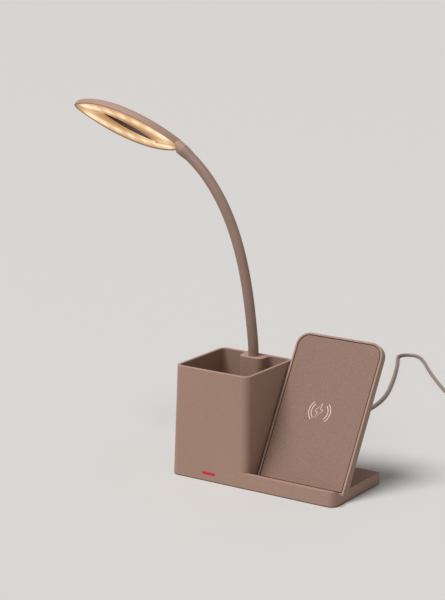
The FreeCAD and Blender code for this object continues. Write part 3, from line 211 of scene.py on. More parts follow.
def moulded_plastic(name, colour, roughness=0.62, grain=0.0011, relief=0.00006, speckle=0.045):
    """Matte plastic with a spark-eroded grain of a given size and depth, in metres."""
    material, tree, shader = start_material(name)
    drift = pattern(tree, Scale=14.0, Detail=3.0)
    coarse = pattern(tree, Scale=1.0 / grain, Detail=4.0, Roughness=0.65)
    fine = pattern(tree, Scale=FINER / grain, Detail=2.0)
    tint = colour_ramp(coarse, shade(colour, 1 - speckle), shade(colour, 1 + speckle), GRAIN_RANGE)
    slow = colour_ramp(drift, DRIFT_DARK, WHITE, MIDDLE_RANGE)
    # This node has several sockets of one name, so they are taken by number.
    mix = add_node(tree, "ShaderNodeMix", data_type="RGBA", blend_type="MULTIPLY")
    mix.inputs[0].default_value = 1.0
    join(tint, "Color", mix, 6)
    join(slow, "Color", mix, 7)
    join(mix, 2, shader, "Base Color")
    dull_by(coarse, shader, roughness + 0.07, roughness - 0.05, MIDDLE_RANGE)
    finer = bump_by(fine, shader, relief / 2, strength=0.9)
    bump_by(coarse, finer, relief, strength=0.9)
    adjust(shader, Specular_IOR_Level=0.38)
    return material


TAUPE = linear(160, 129, 114)
shell_plastic = moulded_plastic("taupe_shell_plastic", TAUPE, speckle=0.07)
# The face plate is darker than the shell: partly its own tone, and partly painted shade for the lesser
# light on its tilted face.
plate_tone_and_shade = moulded_plastic("face_plate_plastic", linear(131, 103, 89), grain=0.0013, speckle=0.11)
cover_plastic = moulded_plastic("cover_plastic", linear(70, 62, 58), grain=0.0015)
# Painted shade: a near-black brown for the band down the slot's wall, standing for the shadow inside the
# slot.
slot_shade_plastic = moulded_plastic("slot_sleeve_plastic", linear(60, 31, 18), grain=0.0009, relief=0.00002)
plug_plastic = moulded_plastic("plug_plastic", linear(128, 112, 103), grain=0.0007, relief=0.00003)
part_plastic = moulded_plastic("part_plastic", linear(34, 34, 36), grain=0.0005)
ferrite = moulded_plastic("ferrite_dust", linear(58, 54, 52), grain=0.0009)
print_ink = moulded_plastic("print_ink", linear(218, 196, 180), grain=0.0006, relief=0.00001)
print("eight finishes with a moulded grain")

# %% [markdown]
# ## Silicone, jacket and rubber
# The neck's sleeve is silicone: softer to the eye than the plastic, with a faint sheen where
# dust and skin oil settle. The cable's jacket is smoother, and the rubber pad is nearly black
# and dull. A slow mottle and a fine dust keep all three from looking like new plastic.

# %% Soft skins
def soft_skin(name, colour, roughness, dust_size, relief, sheen=0.0):
    """Silicone, cable jacket or rubber: a soft surface with a slow mottle and fine dust."""
    material, tree, shader = start_material(name)
    mottle = pattern(tree, Scale=60.0, Detail=5.0, Roughness=0.6)
    dust = pattern(tree, Scale=1.0 / dust_size, Detail=3.0)
    tint_by(mottle, shader, colour, 0.93, 1.05)
    dull_by(mottle, shader, roughness - 0.08, roughness + 0.08)
    bump_by(dust, shader, relief, strength=0.8)
    adjust(shader, Sheen_Weight=sheen, Sheen_Roughness=0.4, Specular_IOR_Level=0.35)
    return material


silicone = soft_skin("neck_silicone", linear(143, 117, 104), 0.55, 0.0008, 0.00002, sheen=0.08)
jacket = soft_skin("cable_jacket", linear(134, 118, 109), 0.42, 0.0006, 0.00001)
rubber = soft_skin("pad_rubber", linear(44, 42, 41), 0.75, 0.0005, 0.00004)
print("soft skins", [m.name for m in (silicone, jacket, rubber)])

# %% [markdown]
# ## Metals, boards and lights
# The inner pieces are seldom seen, but a screw, a plug's tongue or a board is still finished as
# what it is. Steel is brushed by squeezing a noise along one direction. A circuit board is
# green lacquer over a faint weave of glass cloth. The lit plate glows, brighter over each light.

# %% Metals and boards
BRUSH_SQUEEZE = (900.0, 40.0, 40.0)
SHALLOW = 0.00001          # depth of a scratch or of the weave


def brushed_metal(name, colour, roughness=0.32):
    """Metal with fine parallel scratches."""
    material, tree, shader = start_material(name)
    scratch = pattern(tree, squeezed=BRUSH_SQUEEZE, Scale=4.0, Detail=6.0, Roughness=0.7)
    tint_by(scratch, shader, colour, 0.82, 1.08)
    dull_by(scratch, shader, roughness - 0.1, roughness + 0.14)
    bump_by(scratch, shader, SHALLOW, strength=0.6)
    adjust(shader, Metallic=1.0)
    return material


def lacquered_board(name, colour):
    """Glossy lacquer over the weave of a glass-cloth board."""
    material, tree, shader = start_material(name)
    weave = pattern(tree, "Checker", Scale=900.0,
                    Color1=(*shade(colour, 0.9), 1), Color2=(*shade(colour, 1.12), 1))
    join(weave, "Color", shader, "Base Color")
    bump_by(weave, shader, SHALLOW, strength=0.5)
    adjust(shader, Roughness=0.28)
    return material


steel = brushed_metal("plain_steel", (0.58, 0.57, 0.56))
dark_steel = brushed_metal("ballast_steel", (0.10, 0.10, 0.11), 0.5)
copper = brushed_metal("bare_copper", (0.86, 0.42, 0.26), 0.3)
board_lacquer = lacquered_board("board_lacquer", linear(24, 84, 48))
white_board = lacquered_board("white_board", linear(236, 234, 228))
print("metals and boards ready")

# %% Lights
def glowing(name, colour, glow, strength, roughness=0.4):
    """Surface lit from behind in one colour."""
    material, tree, shader = start_material(name)
    cloud = pattern(tree, Scale=120.0, Detail=3.0)
    tint_by(cloud, shader, colour, 0.95, 1.03)
    adjust(shader, Roughness=roughness, Emission_Strength=strength, Emission_Color=(*glow, 1))
    return material


def spotted_glow(name, colour, dim, middle, bright, strength, roughness):
    """Glowing surface whose light runs through three colours, as its glow attribute rises."""
    material = glowing(name, colour, bright, strength, roughness)
    tree = material.node_tree
    level = add_node(tree, "ShaderNodeAttribute", attribute_name="glow")
    ramp = colour_ramp(level, dim, bright, WHOLE_RANGE)
    halfway = ramp.color_ramp.elements.new(0.5)
    halfway.color = (*middle, 1)
    join(ramp, "Color", tree.nodes["Principled BSDF"], "Emission Color")
    return material


diffuser_light = spotted_glow("lit_diffuser", linear(84, 68, 50), linear(166, 114, 58),
                              linear(226, 178, 128), linear(255, 246, 206), 0.93, 0.45)
chip_light = glowing("lit_chip", linear(250, 232, 190), linear(255, 236, 190), 2.0)
red_window = glowing("red_window", linear(112, 8, 22), linear(206, 10, 42), 0.6, 0.28)
print("lights ready")

# %% [markdown]
# ## Softened edges
# No moulded edge is sharp: the tool's corners are rounded and the plastic shrinks. The solids
# have sharp edges, so each moulding is rebuilt from its solid: the loose triangles are joined,
# flat neighbours are merged into large faces, and every real edge gets a small round bevel that
# catches the light.

# %% Objects
def new_object(name, data):
    """Object with its data, put in the scene."""
    obj = bpy.data.objects.new(name, data)
    scene.collection.objects.link(obj)
    return obj


def drawn(name, points, edges=(), faces=()):
    """Mesh object from its points and its edges or faces."""
    data = bpy.data.meshes.new(name)
    data.from_pydata(points, edges, faces)
    return new_object(name, data)


def settled(name, mesh):
    """Object from a working mesh, which is freed."""
    data = bpy.data.meshes.new(name)
    mesh.to_mesh(data)
    mesh.free()
    return new_object(name, data)


def finished(obj):
    """Plain mesh object from an object with modifiers, under the same name."""
    bpy.context.view_layer.update()
    shaped = obj.evaluated_get(bpy.context.evaluated_depsgraph_get())
    data = bpy.data.meshes.new_from_object(shaped)
    name = obj.name
    bpy.data.objects.remove(obj)
    data.name = name
    return new_object(name, data)


print("helpers for objects ready")

# %% Working meshes
POINTS_MEET = 2e-6
FLAT_ANGLE = math.radians(0.6)


def solid_copy(node):
    """Working mesh of a node, with its triangles joined and its flat areas merged."""
    mesh = bmesh.new()
    mesh.from_mesh(nodes[node].data)
    bmesh.ops.remove_doubles(mesh, verts=mesh.verts, dist=POINTS_MEET)
    bmesh.ops.dissolve_limit(mesh, angle_limit=FLAT_ANGLE, verts=mesh.verts, edges=mesh.edges)
    return mesh


def smooth(obj, degrees=35.0, outwards=False):
    """Smooth shading, with the edges above an angle kept crisp and the faces turned out if asked."""
    mesh = bmesh.new()
    mesh.from_mesh(obj.data)
    if outwards:
        bmesh.ops.recalc_face_normals(mesh, faces=mesh.faces)
    for face in mesh.faces:
        face.smooth = True
    for edge in mesh.edges:
        edge.smooth = edge.is_manifold and edge.calc_face_angle(0.0) < math.radians(degrees)
    mesh.to_mesh(obj.data)
    mesh.free()


print("bends kept as edges: over", round(math.degrees(FLAT_ANGLE), 1), "degrees")

# %% Rebuild a solid with softened edges
def coat(obj, material):
    """Give a piece one material and no other."""
    obj.data.materials.clear()
    obj.data.materials.append(material)


def dress(obj, body, material=None, replaced=()):
    """Give a finished piece its material, its body and the nodes that it stands for."""
    if material is not None:
        coat(obj, material)
    if replaced:
        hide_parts(*replaced)
    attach(obj, body)
    print(obj.name, "on the", body, "with", len(obj.data.polygons), "faces")


def softened(node, name, width, segments=3, angle=30.0, prepare=None):
    """Piece rebuilt from a solid, with a small round bevel on its edges."""
    mesh = solid_copy(node)
    if prepare is not None:
        prepare(mesh)
    for face in mesh.faces:
        face.smooth = True
    obj = settled(name, mesh)
    bevel = obj.modifiers.new("edge", "BEVEL")
    bevel.width = width
    bevel.segments = segments
    bevel.limit_method = "ANGLE"
    bevel.angle_limit = math.radians(angle)
    bevel.use_clamp_overlap = True
    bevel.miter_outer = "MITER_ARC"
    shading = obj.modifiers.new("level", "WEIGHTED_NORMAL")
    shading.keep_sharp = True
    shading.weight = 60
    return finished(obj)


def moulded(node, name, slot, material, width, body="base", **shape):
    """Softened piece in place of its solid, with its finish."""
    piece = softened(node, name, width, **shape)
    dress(piece, body, material, [node])
    return piece


# %% [markdown]
# ## Housing, stand and covers
# The cup, the lip, the ledge and the deck are one moulding. Its rim is where fingers and pens
# touch, so the tool gives it a larger round than the other edges. The stand is a back shell
# with a thin rim, and the face plate is clipped in, which leaves a dark line around it. The back
# shell's rear edges are well rounded, because a hand grips them to carry the lamp.

# %% Measures of the stand and the cup
BASE_FRONT = -0.039
CUP_TOP = 0.0965
NECK_FOOT = Vector((-0.0402, 0.027, CUP_TOP))
NECK_RADIUS = 0.0045
DECK_TOP = 0.0104
LIP_TOP = 0.0132           # the lip in front of the ledge
LIP_FLAT = 0.0042
LEDGE_DEPTH = 0.0121
STAND_LEFT = -0.0031
STAND_THICK = 0.008
STAND_TILT = math.radians(30)
stand_up = Vector((0, math.sin(STAND_TILT), math.cos(STAND_TILT)))
stand_out = Vector((0, -math.cos(STAND_TILT), math.sin(STAND_TILT)))
stand_foot = Vector((STAND_LEFT, BASE_FRONT + LIP_FLAT, LIP_TOP)) - stand_out * LEDGE_DEPTH
print("stand's foot", [round(v, 4) for v in stand_foot])

# %% Larger rounds on chosen edges
RIM_ROUND = 0.0008
BACK_ROUND = 0.0019
SAME_PLACE = 1e-5
REAL_CORNER = 0.5          # in radians, between the two faces at an edge
HOLE_MARGIN = 0.001
DECK_MARGIN = 0.002


def real_edges(mesh, chosen):
    """Edges between two faces at an angle, with both of their ends chosen."""
    return [edge for edge in mesh.edges if all(chosen(end) for end in edge.verts)
            and edge.is_manifold and edge.calc_face_angle(0.0) > REAL_CORNER]


def round_edges(mesh, edges, radius):
    """Round the given edges of a working mesh."""
    bmesh.ops.bevel(mesh, geom=edges, offset=radius, offset_type="OFFSET", segments=4,
                    profile=0.5, affect="EDGES", clamp_overlap=True)


def round_cup_rim(mesh):
    """Round the pen cup's rim, but not the hole that the neck stands in."""
    def on_rim(vertex):
        aside = (vertex.co - NECK_FOOT).to_2d().length
        return abs(vertex.co.z - CUP_TOP) < SAME_PLACE and aside > NECK_RADIUS + HOLE_MARGIN
    round_edges(mesh, real_edges(mesh, on_rim), RIM_ROUND)


def round_stand_back(mesh):
    """Round the edges of the stand's rear face, above the deck."""
    def at_rear(vertex):
        return abs((vertex.co - stand_foot).dot(stand_out) + STAND_THICK) < SAME_PLACE
    edges = [edge for edge in real_edges(mesh, at_rear)
             if max(end.co.z for end in edge.verts) > DECK_TOP + DECK_MARGIN]
    round_edges(mesh, edges, BACK_ROUND)


print("rounds of", RIM_ROUND, "and", BACK_ROUND, "m")

# %% Base, stand and covers
EDGE_ROUND = 0.0005
PLATE_ROUND = 0.00045
THIN_ROUND = 0.0003

moulded("housing", "base_moulding", "taupe_shell", shell_plastic, EDGE_ROUND, prepare=round_cup_rim)
moulded("stand_shell", "stand_back", "taupe_shell", shell_plastic, EDGE_ROUND, prepare=round_stand_back)
moulded("stand_face", "face_plate", "face_plate", plate_tone_and_shade, PLATE_ROUND)
moulded("bottom_cover", "under_cover", "cover", cover_plastic, THIN_ROUND, segments=2)

# %% [markdown]
# ## Shapes that are grown by rule
# Geometry Nodes suit what follows a path: a line of points goes in, a profile is swept along it,
# and the ends are closed. Every tree here ends alike: its copies are made real and it gives the
# result its material, so that a plain mesh can be taken from it.

# %% Helpers for the trees
def start_tree(name, **inputs):
    """New Geometry Nodes tree with named inputs of a kind each. Returns it and its first node."""
    tree = bpy.data.node_groups.new(name, "GeometryNodeTree")
    for label, kind in {"Geometry": "Geometry", **inputs, "Material": "Material"}.items():
        tree.interface.new_socket(label.replace("_", " "), in_out="INPUT", socket_type="NodeSocket" + kind)
    tree.interface.new_socket("Geometry", in_out="OUTPUT", socket_type="NodeSocketGeometry")
    return tree, add_node(tree, "NodeGroupInput")


def end_tree(tree, start, last):
    """Make the last node's mesh real, give it the material and send it out."""
    real = add_node(tree, "GeometryNodeRealizeInstances")
    paint = add_node(tree, "GeometryNodeSetMaterial")
    join(last, "Mesh", real, "Geometry")
    join(real, "Geometry", paint, "Geometry")
    join(start, "Material", paint, "Material")
    join(paint, "Geometry", add_node(tree, "NodeGroupOutput"), "Geometry")


def sweep_along(tree, start, path, profile):
    """End a tree with a profile swept along a path. Returns the sweep."""
    sweep = add_node(tree, "GeometryNodeCurveToMesh", Fill_Caps=True)
    join(path, "Curve", sweep, "Curve")
    join(profile, "Curve", sweep, "Profile Curve")
    end_tree(tree, start, sweep)
    return sweep


def line_in(tree, start):
    """The line of points that goes into a tree, as a curve."""
    line = add_node(tree, "GeometryNodeMeshToCurve")
    join(start, "Geometry", line, "Mesh")
    return line


def line_object(name, points):
    """Mesh object of points joined in a row, for a tree to follow."""
    return drawn(name, points, [(i, i + 1) for i in range(len(points) - 1)])


def grown(obj, tree, **inputs):
    """Plain mesh that a tree makes from an object and its inputs."""
    modifier = obj.modifiers.new("grow", "NODES")
    modifier.node_group = tree
    for socket in tree.interface.items_tree:
        key = socket.name.replace(" ", "_")
        if socket.in_out == "INPUT" and key in inputs:
            modifier[socket.identifier] = inputs[key]
    return finished(obj)


print("helpers for trees ready")

# %% [markdown]
# ## The neck
# A gooseneck is a wound steel spiral in a silicone tube. Here it bends at eight places, so the
# skin is made in eight pieces, each from the middle of one length to the middle of the next.
# Each piece bends smoothly across its own joint, and the pieces meet where the neck is stiff.
# The neck curls more and more towards the head, so its lean grows with a power of the distance.

# %% The path of the neck
NECK_LENGTH = 0.195
NECK_FIRST_JOINT = 0.0125
NECK_PITCH = 0.025
NECK_JOINTS = 8
NECK_LEAN_FOOT = 6.5       # degrees from upright
NECK_LEAN_END = 59.0
NECK_CURL = 2.0

neck_stations = [0.0] + [NECK_FIRST_JOINT + NECK_PITCH * i for i in range(NECK_JOINTS)] + [NECK_LENGTH]


def neck_lean(distance):
    """Lean from upright, in radians, at a distance above the boss."""
    if distance <= 0:
        return 0.0
    share = (distance / NECK_LENGTH) ** NECK_CURL
    return math.radians(NECK_LEAN_FOOT + (NECK_LEAN_END - NECK_LEAN_FOOT) * share)


def neck_place(distance):
    """Point of the neck's centre line and its direction, at a distance above the boss."""
    point = NECK_FOOT.copy()
    if distance <= 0:
        return point + Vector((0, 0, distance)), Vector((0, 0, 1))
    for low, high in zip(neck_stations, neck_stations[1:]):
        start = neck_lean(low)
        turn = neck_lean(high) - start
        end = start + turn * (min(distance, high) - low) / (high - low)
        radius = (high - low) / turn
        point += Vector((math.cos(end) - math.cos(start), 0, math.sin(end) - math.sin(start))) * radius
        if distance <= high:
            break
    return point, Vector((-math.sin(end), 0, math.cos(end)))


print("neck ends at", [round(v, 4) for v in neck_place(NECK_LENGTH)[0]])


# %% A tree that sweeps a round skin along a path
def tube_tree():
    """Geometry Nodes: line of points in, closed round tube out, swollen towards its far end."""
    tree, start = start_tree("round_tube", Radius="Float", Swell="Float", Swell_Start="Float", Sides="Int")
    ring = add_node(tree, "GeometryNodeCurvePrimitiveCircle")
    sweep = sweep_along(tree, start, line_in(tree, start), ring)
    along = add_node(tree, "GeometryNodeSplineParameter")
    swell = add_node(tree, "ShaderNodeMapRange", interpolation_type="SMOOTHSTEP")
    whole = add_node(tree, "ShaderNodeMath", operation="ADD")
    whole.inputs[1].default_value = 1.0
    join(start, "Radius", ring, "Radius")
    join(start, "Sides", ring, "Resolution")
    join(along, "Factor", swell, "Value")
    join(start, "Swell Start", swell, "From Min")
    join(start, "Swell", swell, "To Max")
    join(swell, "Result", whole, 0)
    join(whole, "Value", sweep, "Scale")
    return tree


round_tube = tube_tree()
print("tree", round_tube.name)

# %% The neck's skin, one piece for each joint
SLEEVE_SEAT = 0.004        # the skin goes this far into the boss
HEAD_SEAT = 0.0015         # and ends this far before the end of the neck
SKIN_STEP = 0.00125
SKIN_SIDES = 40
HEAD_SWELL = 0.16          # share by which the skin is wider where it meets the head's nose
SWELL_START = 0.45         # share of the last piece that has no swell


def skin_points(low, high):
    """Points of the neck's centre line between two distances."""
    count = max(2, round((high - low) / SKIN_STEP))
    return [neck_place(low + (high - low) * i / count)[0] for i in range(count + 1)]


for index in range(NECK_JOINTS):
    first = index == 0
    last = index == NECK_JOINTS - 1
    joint = neck_stations[index + 1]
    low = -SLEEVE_SEAT if first else joint - NECK_PITCH / 2
    high = NECK_LENGTH - HEAD_SEAT if last else joint + NECK_PITCH / 2
    path = line_object("neck_skin_%d" % (index + 1), skin_points(low, high))
    skin = grown(path, round_tube, Radius=NECK_RADIUS, Swell=HEAD_SWELL if last else 0.0,
                 Swell_Start=SWELL_START, Sides=SKIN_SIDES, Material=silicone)
    smooth(skin, degrees=50.0)
    place, way = neck_place(joint)
    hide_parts("neck_sleeve_%d" % (index + 1))
    if first:
        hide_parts("neck_sleeve_0")
    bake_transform(skin)
print("neck skin in", NECK_JOINTS, "pieces")

# %% [markdown]
# ## The lamp head
# The head is a leaf with a slot. Its back shell is rounded, and a milky plate closes the lit
# side. Rows of small lights sit behind the plate along both sides of the leaf, so it is
# brightest in spots above them and warmer between them. The brightness of each place is worked
# out in the leaf's own plane, which has one axis along the leaf and one across it.

# %% Head shell and the leaf's plane
HEAD_RISE = math.radians(13.3)
HEAD_ROLL = math.radians(44.0)
HEAD_CENTRE = Vector((-0.174992, 0.026444, 0.283132))
leaf_along = Vector((-math.cos(HEAD_RISE), 0, math.sin(HEAD_RISE)))
leaf_upright = Vector((math.sin(HEAD_RISE), 0, math.cos(HEAD_RISE)))
leaf_across = Vector((0, -math.cos(HEAD_ROLL), 0)) + leaf_upright * math.sin(HEAD_ROLL)
leaf_back = leaf_upright * math.cos(HEAD_ROLL) + Vector((0, math.sin(HEAD_ROLL), 0))

moulded("head_shell", "head_back", "taupe_shell", shell_plastic, THIN_ROUND, body="head",
        segments=2, angle=40.0)

# %% Where the plate is bright
LEAF_LENGTH = 0.1156
LEAF_WIDTH = 0.0474
SLOT_LENGTH = 0.057
SLOT_OFFSET = 0.002
SLOT_TURN = math.radians(15.0)
LIGHTS_PER_SIDE = 9
LIGHT_REACH = 0.0442
LIGHT_INSET = 0.0044
LIGHT_THROW = 0.0045       # the beams lean in, so a spot lies this much nearer the middle
SPOT_STRENGTH = 0.85
SPOT_ALONG = 0.0054        # a spot is longer along the leaf than across it
SPOT_ACROSS = 0.0037
GLOW_FLOOR = 0.06
CREASE_DIM = 0.85
CREASE_WIDTH = 0.0012


def light_places():
    """Places of the spots of light in the leaf's plane, along both of its sides."""
    places = []
    for side in (-1, 1):
        for step in range(LIGHTS_PER_SIDE):
            x = LIGHT_REACH * math.cos(math.pi * (step + 0.5) / LIGHTS_PER_SIDE)
            bow = LEAF_WIDTH / 2 * (1 - (2 * x / LEAF_LENGTH) ** 2)
            throw = LIGHT_THROW * (1 - (x / LIGHT_REACH) ** 2)
            places.append(Vector((x, side * (bow - LIGHT_INSET - throw))))
    return places


def crease_lines():
    """The two lines, from the slot's tips to the leaf's tips, where the rows of light part."""
    slot_way = Vector((math.cos(SLOT_TURN), math.sin(SLOT_TURN)))
    return [(slot_way * (side * SLOT_LENGTH / 2 - SLOT_OFFSET), Vector((side * LEAF_LENGTH / 2, 0)))
            for side in (-1, 1)]


def brightness(place, lights, creases):
    """How bright the plate is at a place: spots over the lights, and a dim line at each crease."""
    dark = 1 - GLOW_FLOOR
    for light in lights:
        away = place - light
        spot = (away.x / SPOT_ALONG) ** 2 + (away.y / SPOT_ACROSS) ** 2
        dark *= 1 - SPOT_STRENGTH * math.exp(-spot / 2)
    glow = 1 - dark
    for start, stop in creases:
        run = stop - start
        share = min(1.0, max(0.0, (place - start).dot(run) / run.length_squared))
        away = (place - start - run * share).length
        glow *= 1 - CREASE_DIM * (1 - share) ** 0.5 * math.exp(-(away / CREASE_WIDTH) ** 2)
    return glow


def lay_glow(data, places):
    """Store how bright each point of a mesh is, from its place in the leaf's plane."""
    glow = data.attributes.new("glow", "FLOAT", "POINT")
    lights = light_places()
    creases = crease_lines()
    for stored, place in zip(glow.data, places):
        stored.value = brightness(place, lights, creases)


print(len(light_places()), "spots of light")

# %% Lit plate
CUT_LENGTH = 0.0016
CUT_TURNS = 5


def lit_plate():
    """The diffuser's solid, cut finely enough to carry a brightness every millimetre or two."""
    mesh = solid_copy("head_diffuser")
    bmesh.ops.triangulate(mesh, faces=mesh.faces)
    for turn in range(CUT_TURNS):
        long_edges = [edge for edge in mesh.edges if edge.calc_length() > CUT_LENGTH]
        bmesh.ops.subdivide_edges(mesh, edges=long_edges, cuts=1, use_grid_fill=False)
        bmesh.ops.triangulate(mesh, faces=mesh.faces)
    plate = settled("lit_plate", mesh)
    offsets = [vertex.co - HEAD_CENTRE for vertex in plate.data.vertices]
    lay_glow(plate.data, [Vector((offset.dot(leaf_along), offset.dot(leaf_across))) for offset in offsets])
    smooth(plate)
    dress(plate, "head", diffuser_light, ["head_diffuser"])


lit_plate()

# %% [markdown]
# ## The mouth of the slot
# The milky plate turns over the rim of the slot and a little way down its wall, so the mouth of
# the slot glows as well. Behind it a thin dark band lines the slot's wall: painted shade, for the
# shadow deep inside the slot.
# The slot's outline is two long arcs and two round tips, and it can be grown or shrunk by moving
# all of them alike. A thin section carried round that outline makes a closed band.

# %% A band round the slot
SLOT_WIDTH = 0.014
SLOT_TIP = 0.002
SIDE_STEPS = 40
TIP_STEPS = 8
PLATE_SINK = 0.0003        # the plate lies this much deeper than the slot's rim

plate_depths = [(vertex.co - HEAD_CENTRE).dot(leaf_back) for vertex in nodes["head_diffuser"].data.vertices]
slot_rim = min(plate_depths) - PLATE_SINK
print("the slot's rim is", round(slot_rim, 5), "m from the head's centre")


def slot_outline(outset):
    """Points of the slot's outline in the leaf's plane, grown by an outset."""
    tip = SLOT_TIP + outset
    reach = SLOT_LENGTH / 2 + outset - tip
    rise = SLOT_WIDTH / 2 + outset
    side = (reach ** 2 + rise ** 2 - tip ** 2) / (2 * (rise - tip))
    sweep = math.atan2(reach, side - rise)
    half = []
    for step in range(SIDE_STEPS + 1):
        angle = sweep * (1 - 2 * step / SIDE_STEPS)
        half.append(Vector((side * math.sin(angle), side * math.cos(angle) - side + rise)))
    for step in range(1, TIP_STEPS):
        angle = -sweep - (math.pi - 2 * sweep) * step / TIP_STEPS
        half.append(Vector((tip * math.sin(angle) - reach, tip * math.cos(angle))))
    turn = Matrix.Rotation(SLOT_TURN, 2)
    return [turn @ (point - Vector((SLOT_OFFSET, 0))) for point in half + [-point for point in half]]


def slot_band(name, section):
    """Closed band round the slot, from a section of outsets and depths behind the slot's rim."""
    places = [(point, slot_rim + depth) for outset, depth in section for point in slot_outline(outset)]
    around = len(places) // len(section)
    faces = []
    for ring in range(len(section)):
        low, high = ring * around, (ring + 1) % len(section) * around
        for step in range(around):
            after = (step + 1) % around
            faces.append((low + step, low + after, high + after, high + step))
    band = drawn(name, [HEAD_CENTRE + leaf_along * point.x + leaf_across * point.y + leaf_back * depth
                        for point, depth in places], [], faces)
    lay_glow(band.data, [point for point, depth in places])
    smooth(band, outwards=True)
    return band


# %% Lit lip and painted shade down the slot's wall
LIP_REACH = 0.00145        # over the rim, out to the plate
LIP_DEPTH = 0.0015         # down the slot's wall
BAND_CLEAR = 0.00003       # between a band and the shell
BAND_OVER = 0.00015        # from the shell to a band's free side
WALL_DEPTH = 0.004         # where the slot's wall starts to round off to the back
WALL_ROUND = 0.003
ROUND_COVER = math.radians(60.0)
ROUND_STEPS = 8


def over_the_rim(away):
    """Section points over the slot's rim and down its wall, a little away from the shell."""
    return [(LIP_REACH, -away), (-away, -away), (-away, LIP_DEPTH)]


def down_the_wall(away):
    """Section points on the slot's wall and its rounding, a little away from the shell."""
    points = [(-away, LIP_DEPTH), (-away, WALL_DEPTH)]
    for step in range(1, ROUND_STEPS + 1):
        angle = ROUND_COVER * step / ROUND_STEPS
        arm = WALL_ROUND + away
        points.append((WALL_ROUND - arm * math.cos(angle), WALL_DEPTH + arm * math.sin(angle)))
    return points


lip = slot_band("lit_lip", over_the_rim(BAND_OVER) + over_the_rim(BAND_CLEAR)[::-1])
dress(lip, "head", diffuser_light)
# A dark band down the slot's wall: painted shade, for the shadow deep inside the slot.
slot_shade_band = slot_band("slot_sleeve", down_the_wall(BAND_CLEAR) + down_the_wall(BAND_OVER)[::-1])
dress(slot_shade_band, "head", slot_shade_plastic)

# %% [markdown]
# ## The charging mark
# A plain sign shows where to lay the telephone: a lightning flash between two pairs of arcs. It
# is pad-printed in a pale ink, which stands a few hundredths of a millimetre proud. Its lines
# are drawn flat, a tree sweeps a flat ribbon along them, and the ribbon is laid on the plate.

# %% Lines of the charging mark
MARK_ACROSS = 0.0405       # from the stand's left edge
MARK_UP = 0.0654           # from the stand's foot
MARK_LINE = 0.00078
MARK_THICK = 0.00012       # half of it is sunk in the plate
FACE_SINK = 0.00015        # the plate lies this much deeper than the stand's rim
FLASH = [(0.0010, 0.0076), (-0.0048, 0.0001), (-0.0018, -0.0008), (-0.0044, -0.0073),
         (0.0029, 0.0015), (-0.0001, 0.0024)]
ARC_RADII = (0.0078, 0.0102)
ARC_HALF_ANGLE = math.radians(48)
ARC_STEPS = 16


def mark_lines():
    """The mark's lines, each a list of flat points and whether it is closed."""
    lines = [(FLASH, True)]
    for radius in ARC_RADII:
        for side in (0, math.pi):
            angles = [side + ARC_HALF_ANGLE * (2 * step / ARC_STEPS - 1) for step in range(ARC_STEPS + 1)]
            arc = [(radius * math.cos(angle), radius * math.sin(angle)) for angle in angles]
            lines.append((arc, False))
    return lines


def ribbon_tree():
    """Geometry Nodes: flat lines in, ribbon of a width and a height out."""
    tree, start = start_tree("flat_ribbon", Width="Float", Height="Float")
    upright = add_node(tree, "GeometryNodeSetCurveNormal", mode="Z_UP")
    bar = add_node(tree, "GeometryNodeCurvePrimitiveQuadrilateral")
    join(line_in(tree, start), "Curve", upright, "Curve")
    join(start, "Width", bar, "Width")
    join(start, "Height", bar, "Height")
    sweep_along(tree, start, upright, bar)
    return tree


def charging_mark():
    """The printed mark, laid on the face plate."""
    points = []
    edges = []
    for line, closed in mark_lines():
        first, count = len(points), len(line)
        points += [(x, y, 0) for x, y in line]
        edges += [(first + i, first + (i + 1) % count) for i in range(count if closed else count - 1)]
    mark = grown(drawn("charging_mark", points, edges), ribbon_tree(),
                 Width=MARK_LINE, Height=MARK_THICK, Material=print_ink)
    for vertex in mark.data.vertices:
        across, up, out = vertex.co
        vertex.co = (stand_foot + Vector((MARK_ACROSS + across, 0, 0)) + stand_up * (MARK_UP + up)
                     + stand_out * (out - FACE_SINK))
    dress(mark, "base")


charging_mark()

# %% [markdown]
# ## The cable
# The charging and lamp current comes through a thin, limp USB cable, about 1.2 m long. It
# leaves the back of the cup, drops to the table and runs off in a loose bow. The rest of its
# length is wound up and tied, with its plug beside the coil. The cable is one smooth curve
# whose points are listed one by one, and whose turns in the coil are laid by a loop.

# %% The cable's route
CABLE_RADIUS = 0.0016
FLOOR = CABLE_RADIUS
cable_points = [
    (-0.0420, 0.06989, 0.00718),
    (-0.0420, 0.08789, 0.00658),
    (-0.0420, 0.1080, 0.0028),
    (-0.0405, 0.1380, FLOOR),
    (-0.0360, 0.1720, FLOOR),
    (-0.0330, 0.2080, FLOOR),
    (-0.0350, 0.2460, FLOOR),
    (-0.0450, 0.2850, FLOOR),
    (-0.0620, 0.3280, FLOOR),
    (-0.0820, 0.3740, FLOOR),
    (-0.0960, 0.4030, FLOOR),
    (-0.1055, 0.4210, FLOOR),
    (-0.0993, 0.4318, FLOOR),
    (-0.0870, 0.4331, FLOOR),
    (-0.0722, 0.4169, FLOOR),
    (-0.0520, 0.3880, FLOOR),
    (-0.0220, 0.3500, FLOOR),
    (0.0010, 0.3230, FLOOR),
    (0.0180, 0.3106, FLOOR),
    (0.0340, 0.3093, FLOOR),
]
print("the cable reaches its coil after", len(cable_points), "points")

# %% The turns of the wound part
COIL_CENTRE = (0.040, 0.330)
COIL_MID = 0.0175
COIL_PITCH = 0.00325       # from one row of turns to the next
COIL_OUTSET = 1.0075       # the curve passes a little inside its points
COIL_START = -90           # degrees
COIL_STEP = 20
COIL_END = 1890
ROW_CHANGES = ((300, -1), (660, -1), (1260, 1), (1620, 1))  # where it moves a row in or out
LAYER_CHANGE = 960         # where it climbs to the second layer
CHANGE_WIDTH = 60.0


def eased(angle, start):
    """Smooth rise from 0 to 1, over some degrees from a start."""
    share = min(1.0, max(0.0, (angle - start) / CHANGE_WIDTH))
    return share * share * (3 - 2 * share)


def coil_row(angle):
    """Which row the coil is in at an angle, in degrees: 1 outside, 0 middle, -1 inside."""
    return 1 + sum(step * eased(angle, start) for start, step in ROW_CHANGES)


